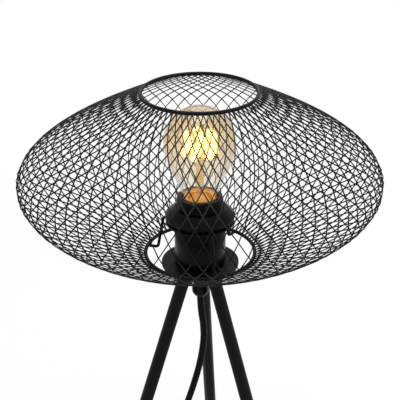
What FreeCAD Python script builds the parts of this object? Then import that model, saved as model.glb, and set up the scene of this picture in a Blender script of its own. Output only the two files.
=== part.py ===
"""Tripod table lamp with a saucer shade of expanded metal.

Millimetres, +Z up, origin on the table under the lamp's axis. Azimuths are in degrees from +X towards +Y.
"""
import FreeCAD
import Part
import math
import os

from FreeCAD import Vector

# Clearances
RUNNING_GAP = 0.3
SEAT_GAP = 0.05

# Tripod
DISC_UNDERSIDE = 263.0
DISC_RADIUS = 33.5
DISC_THICKNESS = 3.0
DISC_EDGE = 0.6
LEG_AZIMUTHS = {"left": 203.0, "right": 323.0, "back": 83.0}
LEG_RADIUS = 5.7
LEG_WALL = 1.2
LEG_SPLAY = 17.9
LEG_NIPPLE_GAP = 0.41
FOOT_WALL = 1.6
FOOT_SOLE = 5.0
FOOT_GRIP = 11.0

# Screw cap of the bulb, which the socket is made for
CAP_RADIUS = 13.1
CAP_HEIGHT = 24.0
CAP_WALL = 0.6
CAP_THREAD_PITCH = 3.62
CAP_THREAD_DEPTH = 1.0
CAP_THREADS = 4
CAP_SINK = 2.0
INSULATOR_HEIGHT = 2.4
TIP_RADIUS = 4.75
TIP_HEIGHT = 1.2

# Lamp holder
SOCKET_CLEARANCE = 0.9
SHELL_WALL = 0.5
SHELL_HEIGHT = 26.5
INSERT_WALL = 3.0
INSERT_FLOOR = 7.0
INSERT_FLANGE = 4.0
SLEEVE_WALL = 1.6
SLEEVE_HEIGHT = 24.1
THREAD_DEPTH = 0.8
THREAD_PITCH = 2.2
RIM_CLEARANCE = 1.5
RIM_THICKNESS = 3.0
FLANGE_STEP = 2.0
FLANGE_HEIGHT = 4.3
SKIRT_HEIGHT = 34.3
SKIRT_WALL = 2.0
SKIRT_FLOOR = 2.5
LEDGE_HEIGHT = 2.3
CONTACT_RISE = 2.5
CONTACT_THICKNESS = 0.5
CONTACT_WIDTH = 5.0
TERMINAL_SIZE = 6.0
TERMINAL_HEIGHT = 7.0
TERMINAL_OFFSET = 9.0
TERMINAL_SCREW_RADIUS = 2.2
TERMINAL_SCREW_HEAD = 1.6
NIPPLE_RADIUS = 5.0
NIPPLE_WALL = 1.4
NIPPLE_PROUD = 1.5
NUT_RIM = 2.0
NUT_THICKNESS = 4.0
LEAD_RADIUS = 0.9
LEAD_OFFSET = 1.1
LEAD_BEND = 3.0

# Cord grip
GRIP_DROP = 26.5
GRIP_NECK_WALL = 1.05
GRIP_NECK_HEIGHT = 11.0
GRIP_BALL_BULGE = 1.4
GRIP_LIP = 0.5

# Fitter and shade ring
FITTER_WIDTH = 9.1
FITTER_THICKNESS = 1.5
COLLAR_WIDTH = 9.4
COLLAR_RIM = 5.3
COLLAR_RIM_LIFT = 2.5
COLLAR_HEIGHT = 12.0
COLLAR_TOP_WIDTH = 1.4
COLLAR_WALL = 2.0

# Shade
SHADE_RADIUS = 150.0
SHADE_HEIGHT = 145.0
SHADE_EQUATOR_RISE = 73.8
SHADE_MOUTH_RADIUS = 47.25
SHADE_ROUNDING = 42.0
STRANDS_AROUND = 76
HALF_ROWS = 25
STRAND_WIDTH = 0.85
STRAND_THICKNESS = 0.5
STRAND_LAYER_GAP = 0.2
STRAND_PHASE = 270.9
STRAND_BREAK = 35.0
HEM_WIRE_RADIUS = 1.6
ARM_AZIMUTHS = {"left": 167.5, "back": 47.5, "front": 287.5}
ARM_WIRE_RADIUS = 1.3
ARM_DROP = 29.8
ARM_SHOULDER = 2.8
ARM_TOE = 7.9
ARM_BEND = 2.6

# Bulb above its cap
GLASS_RADIUS = 30.0
GLASS_HEIGHT = 81.1
GLASS_SHOULDER_INSET = 4.7
GLASS_SHOULDER_DROP = 22.0
GLASS_SIDE_BULGE = 1.2
GLASS_THROAT_STEP = 0.5
GLASS_THROAT_HOLLOW = 0.35
GLASS_WALL = 0.9
GLASS_NECK = 5.0
STEM_RADIUS = 3.4
STEM_HEIGHT = 37.5
FILAMENTS = 6
FILAMENT_RADIUS = 1.25
FILAMENT_LOW_RADIUS = 13.0
FILAMENT_HIGH_RADIUS = 12.0
FILAMENT_TWIST = 50.0
FILAMENT_RISE = 22.0
SUPPORT_RADIUS = 0.45

# Cord
CORD_RADIUS = 3.1
CORD_HOLE_GAP = 0.15
CORD_SEAT = 4.0
COIL_CENTRE_X = 78.0
COIL_CENTRE_Y = 38.6
COIL_GAP = 0.5
COIL_INNER_RADIUS = 27.7
COIL_QUARTER_TURNS = 21
COIL_LIFT = 0.9
TIE_WIDTH = 8.0
TIE_THICKNESS = 0.6
TIE_AZIMUTH = 225.0

# Cord switch
SWITCH_START_X = -16.0
SWITCH_Y = -86.0
SWITCH_AXIS_HEIGHT = 7.0
SWITCH_LENGTH = 62.0
SWITCH_WIDTH = 24.0
SWITCH_HEIGHT = 16.0
SWITCH_WALL = 1.8
SWITCH_END_FLAT = 2.0
SWITCH_EDGE = 1.5
SWITCH_SCREW_X = 20.0
SWITCH_SCREW_Y = 6.3
SWITCH_BOSS_RADIUS = 3.0
SWITCH_SCREW_RADIUS = 1.3
SWITCH_HEAD_RADIUS = 2.3
SWITCH_HEAD_HEIGHT = 1.4
SWITCH_CONTACT_LENGTH = 8.0
SWITCH_CONTACT_WIDTH = 4.0
SWITCH_CONTACT_HEIGHT = 1.2
SWITCH_CONTACT_X = 13.0
ROCKER_HALF_LENGTH = 9.6
ROCKER_HALF_WIDTH = 4.7
ROCKER_END_HEIGHT = 5.6
ROCKER_DIP_HEIGHT = 4.4
ROCKER_SHOULDER = 1.0
ROCKER_KEEL = 4.0
ROCKER_TILT = 8.0
ROCKER_PIVOT_DROP = 5.0
TRUNNION_RADIUS = 1.2
POST_THICKNESS = 2.0
POST_HALF_LENGTH = 2.6

# Plug
PLUG_LIFT = 0.2
RELIEF_LENGTH = 24.0
RELIEF_WALL = 0.95
RELIEF_FLARE = 1.5
PLUG_TAPER = 12.0
PLUG_LENGTH = 36.0
PLUG_HALF_WIDTH = 17.6
PLUG_HALF_HEIGHT = 6.8
PLUG_SIDE_FLAT = 2.6
PLUG_TOP_FLAT = 12.5
PIN_RADIUS = 2.0
PIN_LENGTH = 19.0
PIN_SPACING = 18.6

# Radii of the holder from the bulb's cap outwards
SHELL_BORE = CAP_RADIUS + SOCKET_CLEARANCE
SHELL_RADIUS = SHELL_BORE + SHELL_WALL
INSERT_BORE = SHELL_RADIUS + SEAT_GAP
INSERT_RADIUS = INSERT_BORE + INSERT_WALL
SLEEVE_BORE = INSERT_RADIUS + SEAT_GAP
THREAD_ROOT_RADIUS = SLEEVE_BORE + SLEEVE_WALL
THREAD_RADIUS = THREAD_ROOT_RADIUS + THREAD_DEPTH
SKIRT_RADIUS = THREAD_RADIUS + FLANGE_STEP
SKIRT_BORE = SKIRT_RADIUS - SKIRT_WALL
LEDGE_RADIUS = INSERT_RADIUS + RUNNING_GAP
RIM_BORE = CAP_RADIUS + RIM_CLEARANCE
NIPPLE_BORE = NIPPLE_RADIUS - NIPPLE_WALL
NIPPLE_HOLE = NIPPLE_RADIUS + SEAT_GAP
GRIP_NECK_RADIUS = NIPPLE_HOLE + GRIP_NECK_WALL
GRIP_BALL_RADIUS = GRIP_NECK_RADIUS + GRIP_BALL_BULGE
COLLAR_BORE = THREAD_RADIUS + RUNNING_GAP
COLLAR_RADIUS = COLLAR_BORE + COLLAR_WIDTH
FITTER_RADIUS = COLLAR_BORE + FITTER_WIDTH
CAP_ROOT_RADIUS = CAP_RADIUS - CAP_THREAD_DEPTH
CAP_BORE = CAP_ROOT_RADIUS - CAP_WALL
NECK_RADIUS = CAP_BORE - SEAT_GAP
CORD_HOLE_RADIUS = CORD_RADIUS + CORD_HOLE_GAP
GRIP_FLAT_RADIUS = CORD_HOLE_RADIUS + GRIP_LIP

# Heights from the table upwards
DISC_TOP = DISC_UNDERSIDE + DISC_THICKNESS
SKIRT_FLOOR_TOP = DISC_TOP + SKIRT_FLOOR
SEAM_HEIGHT = DISC_TOP + SKIRT_HEIGHT
LEDGE_TOP = SEAM_HEIGHT - INSERT_FLANGE
FLANGE_TOP = SEAM_HEIGHT + FLANGE_HEIGHT
RIM_TOP = FLANGE_TOP + SLEEVE_HEIGHT
CAP_TOP = RIM_TOP - CAP_SINK
CAP_BOTTOM = CAP_TOP - CAP_HEIGHT
INSULATOR_BOTTOM = CAP_BOTTOM - INSULATOR_HEIGHT
TIP_BOTTOM = INSULATOR_BOTTOM - TIP_HEIGHT
CONTACT_TOP = TIP_BOTTOM - RUNNING_GAP
INSERT_FLOOR_TOP = CONTACT_TOP - CONTACT_RISE
INSERT_FLOOR_LOW = INSERT_FLOOR_TOP - INSERT_FLOOR
NUT_TOP = SKIRT_FLOOR_TOP + NUT_THICKNESS
NIPPLE_TOP = NUT_TOP + NIPPLE_PROUD
GRIP_BALL_HEIGHT = DISC_UNDERSIDE - GRIP_DROP
GRIP_BOTTOM = GRIP_BALL_HEIGHT - math.sqrt(GRIP_BALL_RADIUS ** 2 - GRIP_FLAT_RADIUS ** 2)
CORD_TOP = GRIP_BOTTOM + CORD_SEAT
FITTER_TOP = FLANGE_TOP + FITTER_THICKNESS
COLLAR_BOTTOM = FITTER_TOP + RUNNING_GAP
ARM_HEIGHT = FITTER_TOP - ARM_WIRE_RADIUS
SHADE_BASE = ARM_HEIGHT - ARM_DROP
SHADE_TOP = SHADE_BASE + SHADE_HEIGHT
EQUATOR_HEIGHT = SHADE_BASE + SHADE_EQUATOR_RISE

# Places on the table
CORD_DIAMETER = 2 * CORD_RADIUS
COIL_PITCH = CORD_DIAMETER + COIL_GAP
COIL_HEIGHT = CORD_RADIUS + COIL_LIFT
COIL_OUTER_RADIUS = COIL_INNER_RADIUS + COIL_PITCH * COIL_QUARTER_TURNS / 8
COIL_EAST = COIL_CENTRE_X + COIL_OUTER_RADIUS
COIL_NORTH = COIL_CENTRE_Y + COIL_OUTER_RADIUS
COIL_START = Vector(COIL_EAST, COIL_CENTRE_Y - CORD_DIAMETER, COIL_HEIGHT)
COIL_END = Vector(COIL_CENTRE_X - CORD_DIAMETER, COIL_NORTH, COIL_HEIGHT + COIL_PITCH)
SWITCH_END_X = SWITCH_START_X + SWITCH_LENGTH
SWITCH_CENTRE_X = SWITCH_START_X + SWITCH_LENGTH / 2
SWITCH_CORNER = (SWITCH_WIDTH - SWITCH_END_FLAT) / 2
SWITCH_CEILING = SWITCH_HEIGHT - SWITCH_WALL
ROCKER_PIVOT = Vector(SWITCH_CENTRE_X, SWITCH_Y, SWITCH_HEIGHT - ROCKER_PIVOT_DROP)
ROCKER_SIDE = ROCKER_HALF_WIDTH + RUNNING_GAP
PLUG_AXIS_HEIGHT = PLUG_HALF_HEIGHT + PLUG_LIFT
RELIEF_THIN_RADIUS = CORD_HOLE_RADIUS + RELIEF_WALL
RELIEF_THICK_RADIUS = RELIEF_THIN_RADIUS + RELIEF_FLARE

# Cord's free stretches: from the grip down to the switch, on to the coil, and from the coil to the plug
HANGING_ROUTE = [
    Vector(0, 0, CORD_TOP), Vector(0, 0, 216), Vector(4, -0.8, 192), Vector(0.2, -2, 160),
    Vector(-8, -3.5, 128), Vector(-17.5, -5, 99), Vector(-28.5, -7, 71), Vector(-40.5, -10, 47),
    Vector(-52.5, -15.5, 29), Vector(-63, -25, 15), Vector(-69.5, -40, 6.3), Vector(-69.5, -58, 3.3),
    Vector(-61, -74.5, 3.5), Vector(-47, -84, 5.4), Vector(-30, SWITCH_Y, SWITCH_AXIS_HEIGHT),
    Vector(SWITCH_START_X + CORD_SEAT, SWITCH_Y, SWITCH_AXIS_HEIGHT)]
LINK_ROUTE = [
    Vector(SWITCH_END_X - CORD_SEAT, SWITCH_Y, SWITCH_AXIS_HEIGHT),
    Vector(60, SWITCH_Y, SWITCH_AXIS_HEIGHT), Vector(78, -83.5, 4.8), Vector(94, -75, 3.25),
    Vector(107.5, -61, 3.2), Vector(116, -43, 3.2), Vector(120.6, -23, 3.25), Vector(122.6, -3, 3.6),
    Vector(COIL_START.x, 15, COIL_HEIGHT), COIL_START]
TAIL_ROUTE = [
    COIL_END, Vector(54, COIL_END.y, COIL_END.z), Vector(37, 78.5, 9.2),
    Vector(22.5, 68, PLUG_AXIS_HEIGHT), Vector(6.5, 57, PLUG_AXIS_HEIGHT)]


def polar(radius, azimuth, height):
    """Point at a radius and an azimuth from the lamp's axis."""
    angle = math.radians(azimuth)
    return Vector(radius * math.cos(angle), radius * math.sin(angle), height)


def outline(points):
    """Straight edges of a closed outline through (x, z) points in the XZ plane."""
    corners = [Vector(x, 0, z) for x, z in points]
    return [Part.makeLine(a, b) for a, b in zip(corners, corners[1:] + corners[:1])]


def revolved(edges):
    """Solid of revolution about the lamp's axis from a closed outline's edges in the XZ plane."""
    face = Part.Face(Part.Wire(edges))
    return face.revolve(Vector(0, 0, 0), Vector(0, 0, 1), 360)


def turned(points):
    """Solid of revolution about the lamp's axis from (radius, height) points."""
    return revolved(outline(points))


def arc_edge(start, middle, end):
    """Arc through three points."""
    return Part.Arc(start, middle, end).toShape()


def bar_between(start, end, radius):
    """Round bar between two points."""
    along = end - start
    return Part.makeCylinder(radius, along.Length, start, along)


def slab(low, high):
    """Wide block between two heights, to trim pieces level."""
    half = 2 * (SHADE_RADIUS + DISC_UNDERSIDE)
    return Part.makeBox(2 * half, 2 * half, high - low, Vector(-half, -half, low))


def rounded_path(points, bend=None):
    """Straight runs joined by tangent arcs.

    Without a bend radius each arc is as large as its two runs allow. Returns the wire and the radii.
    """
    edges = []
    radii = []
    last = points[0]
    for before, corner, after in zip(points, points[1:], points[2:]):
        back = (before - corner).normalize()
        onwards = (after - corner).normalize()
        half_turn = (math.pi - back.getAngle(onwards)) / 2
        shorter = min((before - corner).Length, (after - corner).Length)
        radius = bend or 0.45 * shorter / math.tan(half_turn)
        reach = radius * math.tan(half_turn)
        start = corner + back * reach
        end = corner + onwards * reach
        inwards = (back + onwards).normalize()
        middle = corner + inwards * (radius / math.cos(half_turn) - radius)
        edges.append(Part.makeLine(last, start))
        edges.append(arc_edge(start, middle, end))
        radii.append(radius)
        last = end
    edges.append(Part.makeLine(last, points[-1]))
    return Part.Wire(edges), radii


def swept(path, radius):
    """Round bar swept along a wire."""
    first = path.OrderedEdges[0]
    start = first.valueAt(first.FirstParameter)
    ring = Part.Wire(Part.makeCircle(radius, start, first.tangentAt(first.FirstParameter)))
    return Part.Solid(path.makePipeShell([ring], True, False))


def bent_wire(points, radius, bend):
    """Wire through points with one bend radius."""
    path, _ = rounded_path(points, bend)
    return swept(path, radius)


def volume_share(tube, path):
    """Volume of a cord's tube as a share of its section times its length."""
    return round(tube.Volume / (math.pi * CORD_RADIUS ** 2 * path.Length), 4)


def cord_stretch(name, points):
    """Free stretch of the cord, which reports its length, volume and radii."""
    path, radii = rounded_path(points)
    tube = swept(path, CORD_RADIUS)
    print(name, "length", round(path.Length, 1), "volume share", volume_share(tube, path))
    print(name, "radii in diameters", [round(radius / CORD_DIAMETER, 1) for radius in radii])
    return tube


def make_tripod():
    """Base disc, three legs and their feet."""
    disc = Part.makeCylinder(DISC_RADIUS, DISC_THICKNESS, Vector(0, 0, DISC_UNDERSIDE))
    rims = [edge for edge in disc.Edges if edge.Curve.TypeId == "Part::GeomCircle"]
    disc = disc.makeFillet(DISC_EDGE, rims)
    hole = Part.makeCylinder(NIPPLE_HOLE, DISC_THICKNESS, Vector(0, 0, DISC_UNDERSIDE))
    pieces = {"base_disc": disc.cut(hole)}
    splay = math.radians(LEG_SPLAY)
    top_radius = NIPPLE_RADIUS + LEG_NIPPLE_GAP + LEG_RADIUS / math.cos(splay)
    length = DISC_UNDERSIDE / math.cos(splay)
    pocket_radius = LEG_RADIUS + SEAT_GAP
    for side, azimuth in LEG_AZIMUTHS.items():
        top = polar(top_radius, azimuth, DISC_UNDERSIDE)
        along = polar(math.sin(splay), azimuth, -math.cos(splay))
        above = top - along * top_radius
        end = top + along * (length - FOOT_SOLE)
        cuff = end - along * FOOT_GRIP
        below = end + along * (2 * FOOT_SOLE)
        tube = bar_between(above, end, LEG_RADIUS).cut(bar_between(above, end, LEG_RADIUS - LEG_WALL))
        cap = bar_between(cuff, below, pocket_radius + FOOT_WALL).cut(bar_between(cuff, end, pocket_radius))
        pieces["leg_" + side] = tube.common(slab(0, DISC_UNDERSIDE))
        pieces["foot_" + side] = cap.common(slab(0, DISC_UNDERSIDE))
    return pieces


def make_skirt():
    """Smooth lower cup of the lamp holder, with a ledge that carries the insert."""
    ledge_low = LEDGE_TOP - LEDGE_HEIGHT
    return turned([
        (NIPPLE_HOLE, DISC_TOP), (SKIRT_RADIUS, DISC_TOP), (SKIRT_RADIUS, SEAM_HEIGHT),
        (SKIRT_BORE, SEAM_HEIGHT), (SKIRT_BORE, LEDGE_TOP), (LEDGE_RADIUS, LEDGE_TOP),
        (LEDGE_RADIUS, ledge_low), (SKIRT_BORE, ledge_low - SKIRT_BORE + LEDGE_RADIUS),
        (SKIRT_BORE, SKIRT_FLOOR_TOP), (NIPPLE_HOLE, SKIRT_FLOOR_TOP)])


def make_sleeve():
    """Threaded upper sleeve of the lamp holder, with a flange below and a lip round the socket's mouth."""
    ridges = []
    for turn in range(int((SLEEVE_HEIGHT - RIM_THICKNESS / 2) / THREAD_PITCH)):
        low = FLANGE_TOP + THREAD_PITCH * (turn + 0.5)
        ridges += [
            (THREAD_ROOT_RADIUS, low), (THREAD_RADIUS, low + 0.25 * THREAD_PITCH),
            (THREAD_RADIUS, low + 0.5 * THREAD_PITCH), (THREAD_ROOT_RADIUS, low + 0.75 * THREAD_PITCH)]
    bevel = RIM_THICKNESS / 4
    lip = RIM_TOP - RIM_THICKNESS
    return turned(
        [(SLEEVE_BORE, SEAM_HEIGHT), (SKIRT_RADIUS, SEAM_HEIGHT), (SKIRT_RADIUS, FLANGE_TOP),
         (THREAD_ROOT_RADIUS, FLANGE_TOP)] + ridges
        + [(THREAD_ROOT_RADIUS, RIM_TOP - bevel), (THREAD_ROOT_RADIUS - bevel, RIM_TOP),
           (RIM_BORE + bevel, RIM_TOP), (RIM_BORE, RIM_TOP - bevel), (RIM_BORE, lip), (SLEEVE_BORE, lip)])


def make_insert():
    """Cup inside the holder that carries the contacts, clamped by its flange between skirt and sleeve."""
    top = RIM_TOP - RIM_THICKNESS - SEAT_GAP
    flange_radius = SKIRT_BORE - SEAT_GAP
    return turned([
        (0, INSERT_FLOOR_LOW), (INSERT_RADIUS, INSERT_FLOOR_LOW), (INSERT_RADIUS, LEDGE_TOP),
        (flange_radius, LEDGE_TOP), (flange_radius, SEAM_HEIGHT), (INSERT_RADIUS, SEAM_HEIGHT),
        (INSERT_RADIUS, top), (INSERT_BORE, top), (INSERT_BORE, INSERT_FLOOR_TOP), (0, INSERT_FLOOR_TOP)])


def make_centre_contact():
    """Springy strip that rises from the insert's floor to the bulb's tip."""
    base = INSERT_FLOOR_TOP
    ramp = CONTACT_RISE - CONTACT_THICKNESS
    low = [
        (RUNNING_GAP - SHELL_BORE + CONTACT_WIDTH / 2, base), (-ramp - TIP_RADIUS / 2, base),
        (-TIP_RADIUS / 2, base + ramp), (TIP_RADIUS, base + ramp)]
    high = [(x, z + CONTACT_THICKNESS) for x, z in reversed(low)]
    strip = Part.Face(Part.Wire(outline(low + high))).extrude(Vector(0, CONTACT_WIDTH, 0))
    strip.translate(Vector(0, -CONTACT_WIDTH / 2, 0))
    return strip


def make_holder():
    """Lamp holder with its contacts, and the nipple and nut that hold it on the disc."""
    shell_top = INSERT_FLOOR_TOP + SHELL_HEIGHT
    shell = turned([
        (SHELL_BORE, INSERT_FLOOR_TOP), (SHELL_RADIUS, INSERT_FLOOR_TOP), (SHELL_RADIUS, shell_top),
        (SHELL_BORE, shell_top)])
    nipple = turned([
        (NIPPLE_BORE, GRIP_BALL_HEIGHT), (NIPPLE_RADIUS, GRIP_BALL_HEIGHT),
        (NIPPLE_RADIUS, NIPPLE_TOP), (NIPPLE_BORE, NIPPLE_TOP)])
    corner = (NIPPLE_RADIUS + NUT_RIM) / math.cos(math.radians(30))
    hexagon = Part.makePolygon([polar(corner, 60 * turn, SKIRT_FLOOR_TOP) for turn in range(7)])
    nut = Part.Face(hexagon).extrude(Vector(0, 0, NUT_THICKNESS))
    nut = nut.cut(Part.makeCylinder(NIPPLE_HOLE, NUT_THICKNESS, Vector(0, 0, SKIRT_FLOOR_TOP)))
    return {
        "holder_skirt": make_skirt(), "holder_sleeve": make_sleeve(), "holder_insert": make_insert(),
        "screw_shell_contact": shell, "centre_contact": make_centre_contact(), "nipple": nipple,
        "nipple_nut": nut}


def make_terminals():
    """Two terminal blocks under the insert, their screws and the leads that come up the nipple."""
    blocks = []
    screws = []
    leads = []
    low = INSERT_FLOOR_LOW - TERMINAL_HEIGHT
    half = TERMINAL_SIZE / 2
    middle = low + TERMINAL_HEIGHT / 2
    slot_width = TERMINAL_SCREW_HEAD / 2
    for side in (-1, 1):
        x = side * TERMINAL_OFFSET
        corner = Vector(x - half, -half, low)
        blocks.append(Part.makeBox(TERMINAL_SIZE, TERMINAL_SIZE, TERMINAL_HEIGHT, corner))
        seat = Vector(x, -half, middle)
        head = Part.makeCylinder(TERMINAL_SCREW_RADIUS, TERMINAL_SCREW_HEAD, seat, Vector(0, -1, 0))
        slot_corner = seat - Vector(TERMINAL_SCREW_RADIUS, TERMINAL_SCREW_HEAD, slot_width / 2)
        screws.append(head.cut(Part.makeBox(2 * TERMINAL_SCREW_RADIUS, slot_width, slot_width, slot_corner)))
        lead_x = side * LEAD_OFFSET
        leads.append(bent_wire(
            [Vector(lead_x, 0, CORD_TOP), Vector(lead_x, 0, middle), Vector(x - side * half, 0, middle)],
            LEAD_RADIUS, LEAD_BEND))
    return {
        "terminal_blocks": Part.makeCompound(blocks), "terminal_screws": Part.makeCompound(screws),
        "lead_wires": Part.makeCompound(leads)}


def make_cord_grip():
    """Ball-shaped grip on the nipple's lower end, with the hole that the cord comes out of."""
    centre = GRIP_BALL_HEIGHT
    neck = centre + math.sqrt(GRIP_BALL_RADIUS ** 2 - GRIP_NECK_RADIUS ** 2)
    top = centre + GRIP_NECK_HEIGHT
    ball = arc_edge(
        Vector(GRIP_FLAT_RADIUS, 0, GRIP_BOTTOM), Vector(GRIP_BALL_RADIUS, 0, centre),
        Vector(GRIP_NECK_RADIUS, 0, neck))
    rest = outline([
        (GRIP_NECK_RADIUS, neck), (GRIP_NECK_RADIUS, top), (NIPPLE_HOLE, top), (NIPPLE_HOLE, centre),
        (CORD_HOLE_RADIUS, centre), (CORD_HOLE_RADIUS, GRIP_BOTTOM), (GRIP_FLAT_RADIUS, GRIP_BOTTOM)])
    return {"cord_grip": revolved([ball] + rest[:-1])}


def make_collar():
    """Screwed shade ring, a cone with a rim that clamps the fitter on the holder."""
    top = COLLAR_BOTTOM + COLLAR_HEIGHT
    rim_top = COLLAR_BOTTOM + COLLAR_RIM
    rim_low = COLLAR_BOTTOM + COLLAR_RIM_LIFT
    roof = rim_top - COLLAR_WALL
    ring = turned([
        (COLLAR_BORE, COLLAR_BOTTOM), (COLLAR_BORE + COLLAR_WALL, COLLAR_BOTTOM),
        (COLLAR_BORE + COLLAR_WALL, roof), (COLLAR_RADIUS - COLLAR_WALL, roof),
        (COLLAR_RADIUS - COLLAR_WALL, rim_low), (COLLAR_RADIUS, rim_low), (COLLAR_RADIUS, rim_top),
        (COLLAR_BORE + COLLAR_TOP_WIDTH, top), (COLLAR_BORE, top)])
    return {"shade_ring": ring}


def shade_radius_at(height):
    """Shade's radius at a height: a hyperbola, round at the widest place, that flattens to a cone."""
    rise = height - EQUATOR_HEIGHT
    reach = SHADE_HEIGHT - SHADE_EQUATOR_RISE if rise > 0 else SHADE_EQUATOR_RISE
    full = math.hypot(1, reach / SHADE_ROUNDING) - 1
    part = math.hypot(1, rise / SHADE_ROUNDING) - 1
    return SHADE_RADIUS - (SHADE_RADIUS - SHADE_MOUTH_RADIUS) * part / full


def shade_meridian(steps=400):
    """Running lengths and (radius, height) points down the shade's side, from the top ring."""
    points = []
    for step in range(steps + 1):
        height = SHADE_TOP - SHADE_HEIGHT * step / steps
        points.append((shade_radius_at(height), height))
    lengths = [0.0]
    for (r0, z0), (r1, z1) in zip(points, points[1:]):
        lengths.append(lengths[-1] + math.hypot(r1 - r0, z1 - z0))
    return lengths, points


def point_at_length(meridian, length):
    """Radius, height and slope angle on the shade's side at a running length from the top ring."""
    lengths, points = meridian
    index = max(i for i in range(len(lengths) - 1) if i == 0 or lengths[i] <= length)
    (r0, z0), (r1, z1) = points[index], points[index + 1]
    share = (length - lengths[index]) / (lengths[index + 1] - lengths[index])
    return r0 + (r1 - r0) * share, z0 + (z1 - z0) * share, math.atan2(z1 - z0, r1 - r0)


def strand_sections(meridian, start, end, turn, offset, count):
    """Corner points of a strand's cross-sections between two running lengths.

    turn is the strand's azimuth in radians per millimetre of running length, and offset is its distance
    out from the shade's middle surface.
    """
    sections = []
    for step in range(count):
        length = start + (end - start) * step / (count - 1)
        radius, height, slope = point_at_length(meridian, length)
        angle = turn * length
        outwards = Vector(math.cos(angle), math.sin(angle), 0)
        around = Vector(-math.sin(angle), math.cos(angle), 0)
        down = outwards * math.cos(slope) + Vector(0, 0, math.sin(slope))
        normal = around.cross(down)
        along = (down + around * (radius * turn)).normalize()
        across = along.cross(normal) * (STRAND_WIDTH / 2)
        lift = normal * (STRAND_THICKNESS / 2)
        centre = outwards * radius + Vector(0, 0, height) - normal * offset
        sections.append([
            centre - across - lift, centre + across - lift, centre + across + lift, centre - across + lift])
    return sections


def bar_through(sections):
    """Closed four-sided bar whose long edges are smooth curves through the sections' corners."""
    curves = []
    for corner in range(4):
        curve = Part.BSplineCurve()
        curve.interpolate([section[corner] for section in sections])
        curves.append(curve.toShape())
    faces = [Part.makeRuledSurface(a, b) for a, b in zip(curves, curves[1:] + curves[:1])]
    for section in (sections[0], sections[-1]):
        faces.append(Part.Face(Part.makePolygon(section + section[:1])))
    shell = Part.makeShell(faces)
    shell.sewShape()
    bar = Part.makeSolid(shell)
    if bar.Volume < 0:
        bar.reverse()
    return bar


def make_strands():
    """Two crossing families of strands, each strand in four spans that meet near the widest place.

    A strand moves half a mesh round the shade in each half row, one family left and inside, the other right
    and outside.
    """
    meridian = shade_meridian()
    lengths, points = meridian
    whole = lengths[-1]
    equator = lengths[max(range(len(points)), key=lambda i: points[i][0])]
    trim = HEM_WIRE_RADIUS + RUNNING_GAP
    breaks = [trim, equator - STRAND_BREAK, equator, equator + STRAND_BREAK, whole - trim]
    half_mesh = 180.0 / STRANDS_AROUND
    pieces = {}
    for name, side in (("shade_strands_left", -1), ("shade_strands_right", 1)):
        turn = side * math.radians(half_mesh) * HALF_ROWS / whole
        offset = side * (STRAND_THICKNESS + STRAND_LAYER_GAP) / 2
        spans = []
        for start, end in zip(breaks, breaks[1:]):
            count = 9 if end - start > STRAND_BREAK else 7
            spans.append(bar_through(strand_sections(meridian, start, end, turn, offset, count)))
        solids = []
        for index in range(STRANDS_AROUND):
            azimuth = STRAND_PHASE + half_mesh * (2 * index - side)
            for span in spans:
                bar = span.copy()
                bar.rotate(Vector(0, 0, 0), Vector(0, 0, 1), azimuth)
                solids.append(bar)
        pieces[name] = Part.makeCompound(solids)
    print("shade side", round(whole, 1), "from ring to ring, widest at", round(equator, 1))
    return pieces


def make_shade_frame():
    """Hem rings, wire arms and the fitter that the shade ring clamps."""
    fitter = turned([
        (COLLAR_BORE, FLANGE_TOP), (FITTER_RADIUS, FLANGE_TOP), (FITTER_RADIUS, FITTER_TOP),
        (COLLAR_BORE, FITTER_TOP)])
    pieces = {"shade_fitter": fitter}
    for name, height in (("shade_top_ring", SHADE_TOP), ("shade_bottom_ring", SHADE_BASE)):
        pieces[name] = Part.makeTorus(SHADE_MOUTH_RADIUS, HEM_WIRE_RADIUS, Vector(0, 0, height))
    edge = FITTER_RADIUS + SEAT_GAP
    ring_inside = SHADE_MOUTH_RADIUS - HEM_WIRE_RADIUS - SEAT_GAP
    route = [
        (edge, ARM_HEIGHT), (edge + ARM_SHOULDER, ARM_HEIGHT), (ring_inside - ARM_TOE, SHADE_BASE),
        (ring_inside, SHADE_BASE)]
    for side, azimuth in ARM_AZIMUTHS.items():
        points = [polar(radius, azimuth, height) for radius, height in route]
        pieces["shade_arm_" + side] = bent_wire(points, ARM_WIRE_RADIUS, ARM_BEND)
    return pieces


def glass_outline(inset):
    """Edges of half the bulb's glass from its neck to its top, moved in by a wall, and their two ends."""
    middle = CAP_TOP + GLASS_HEIGHT - GLASS_RADIUS
    radius = GLASS_RADIUS - inset
    slant = radius * math.sqrt(0.5)
    shoulder_height = middle - GLASS_SHOULDER_DROP
    throat_height = CAP_TOP + SEAT_GAP + inset
    neck_radius = NECK_RADIUS - inset
    top = Vector(0, 0, middle + radius)
    side = Vector(radius, 0, middle)
    shoulder = Vector(radius - GLASS_SHOULDER_INSET, 0, shoulder_height)
    throat = Vector(CAP_RADIUS + GLASS_THROAT_STEP - inset, 0, throat_height)
    flank = (side + shoulder) * 0.5 + Vector(GLASS_SIDE_BULGE, 0, 0)
    hollow = (shoulder + throat) * 0.5 - Vector(GLASS_THROAT_HOLLOW, 0, 0)
    neck_high = Vector(neck_radius, 0, throat_height)
    neck_low = Vector(neck_radius, 0, CAP_TOP - GLASS_NECK)
    edges = [
        Part.makeLine(neck_low, neck_high), Part.makeLine(neck_high, throat),
        arc_edge(throat, hollow, shoulder), arc_edge(shoulder, flank, side),
        arc_edge(side, Vector(slant, 0, middle + slant), top)]
    return edges, neck_low, top


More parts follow.
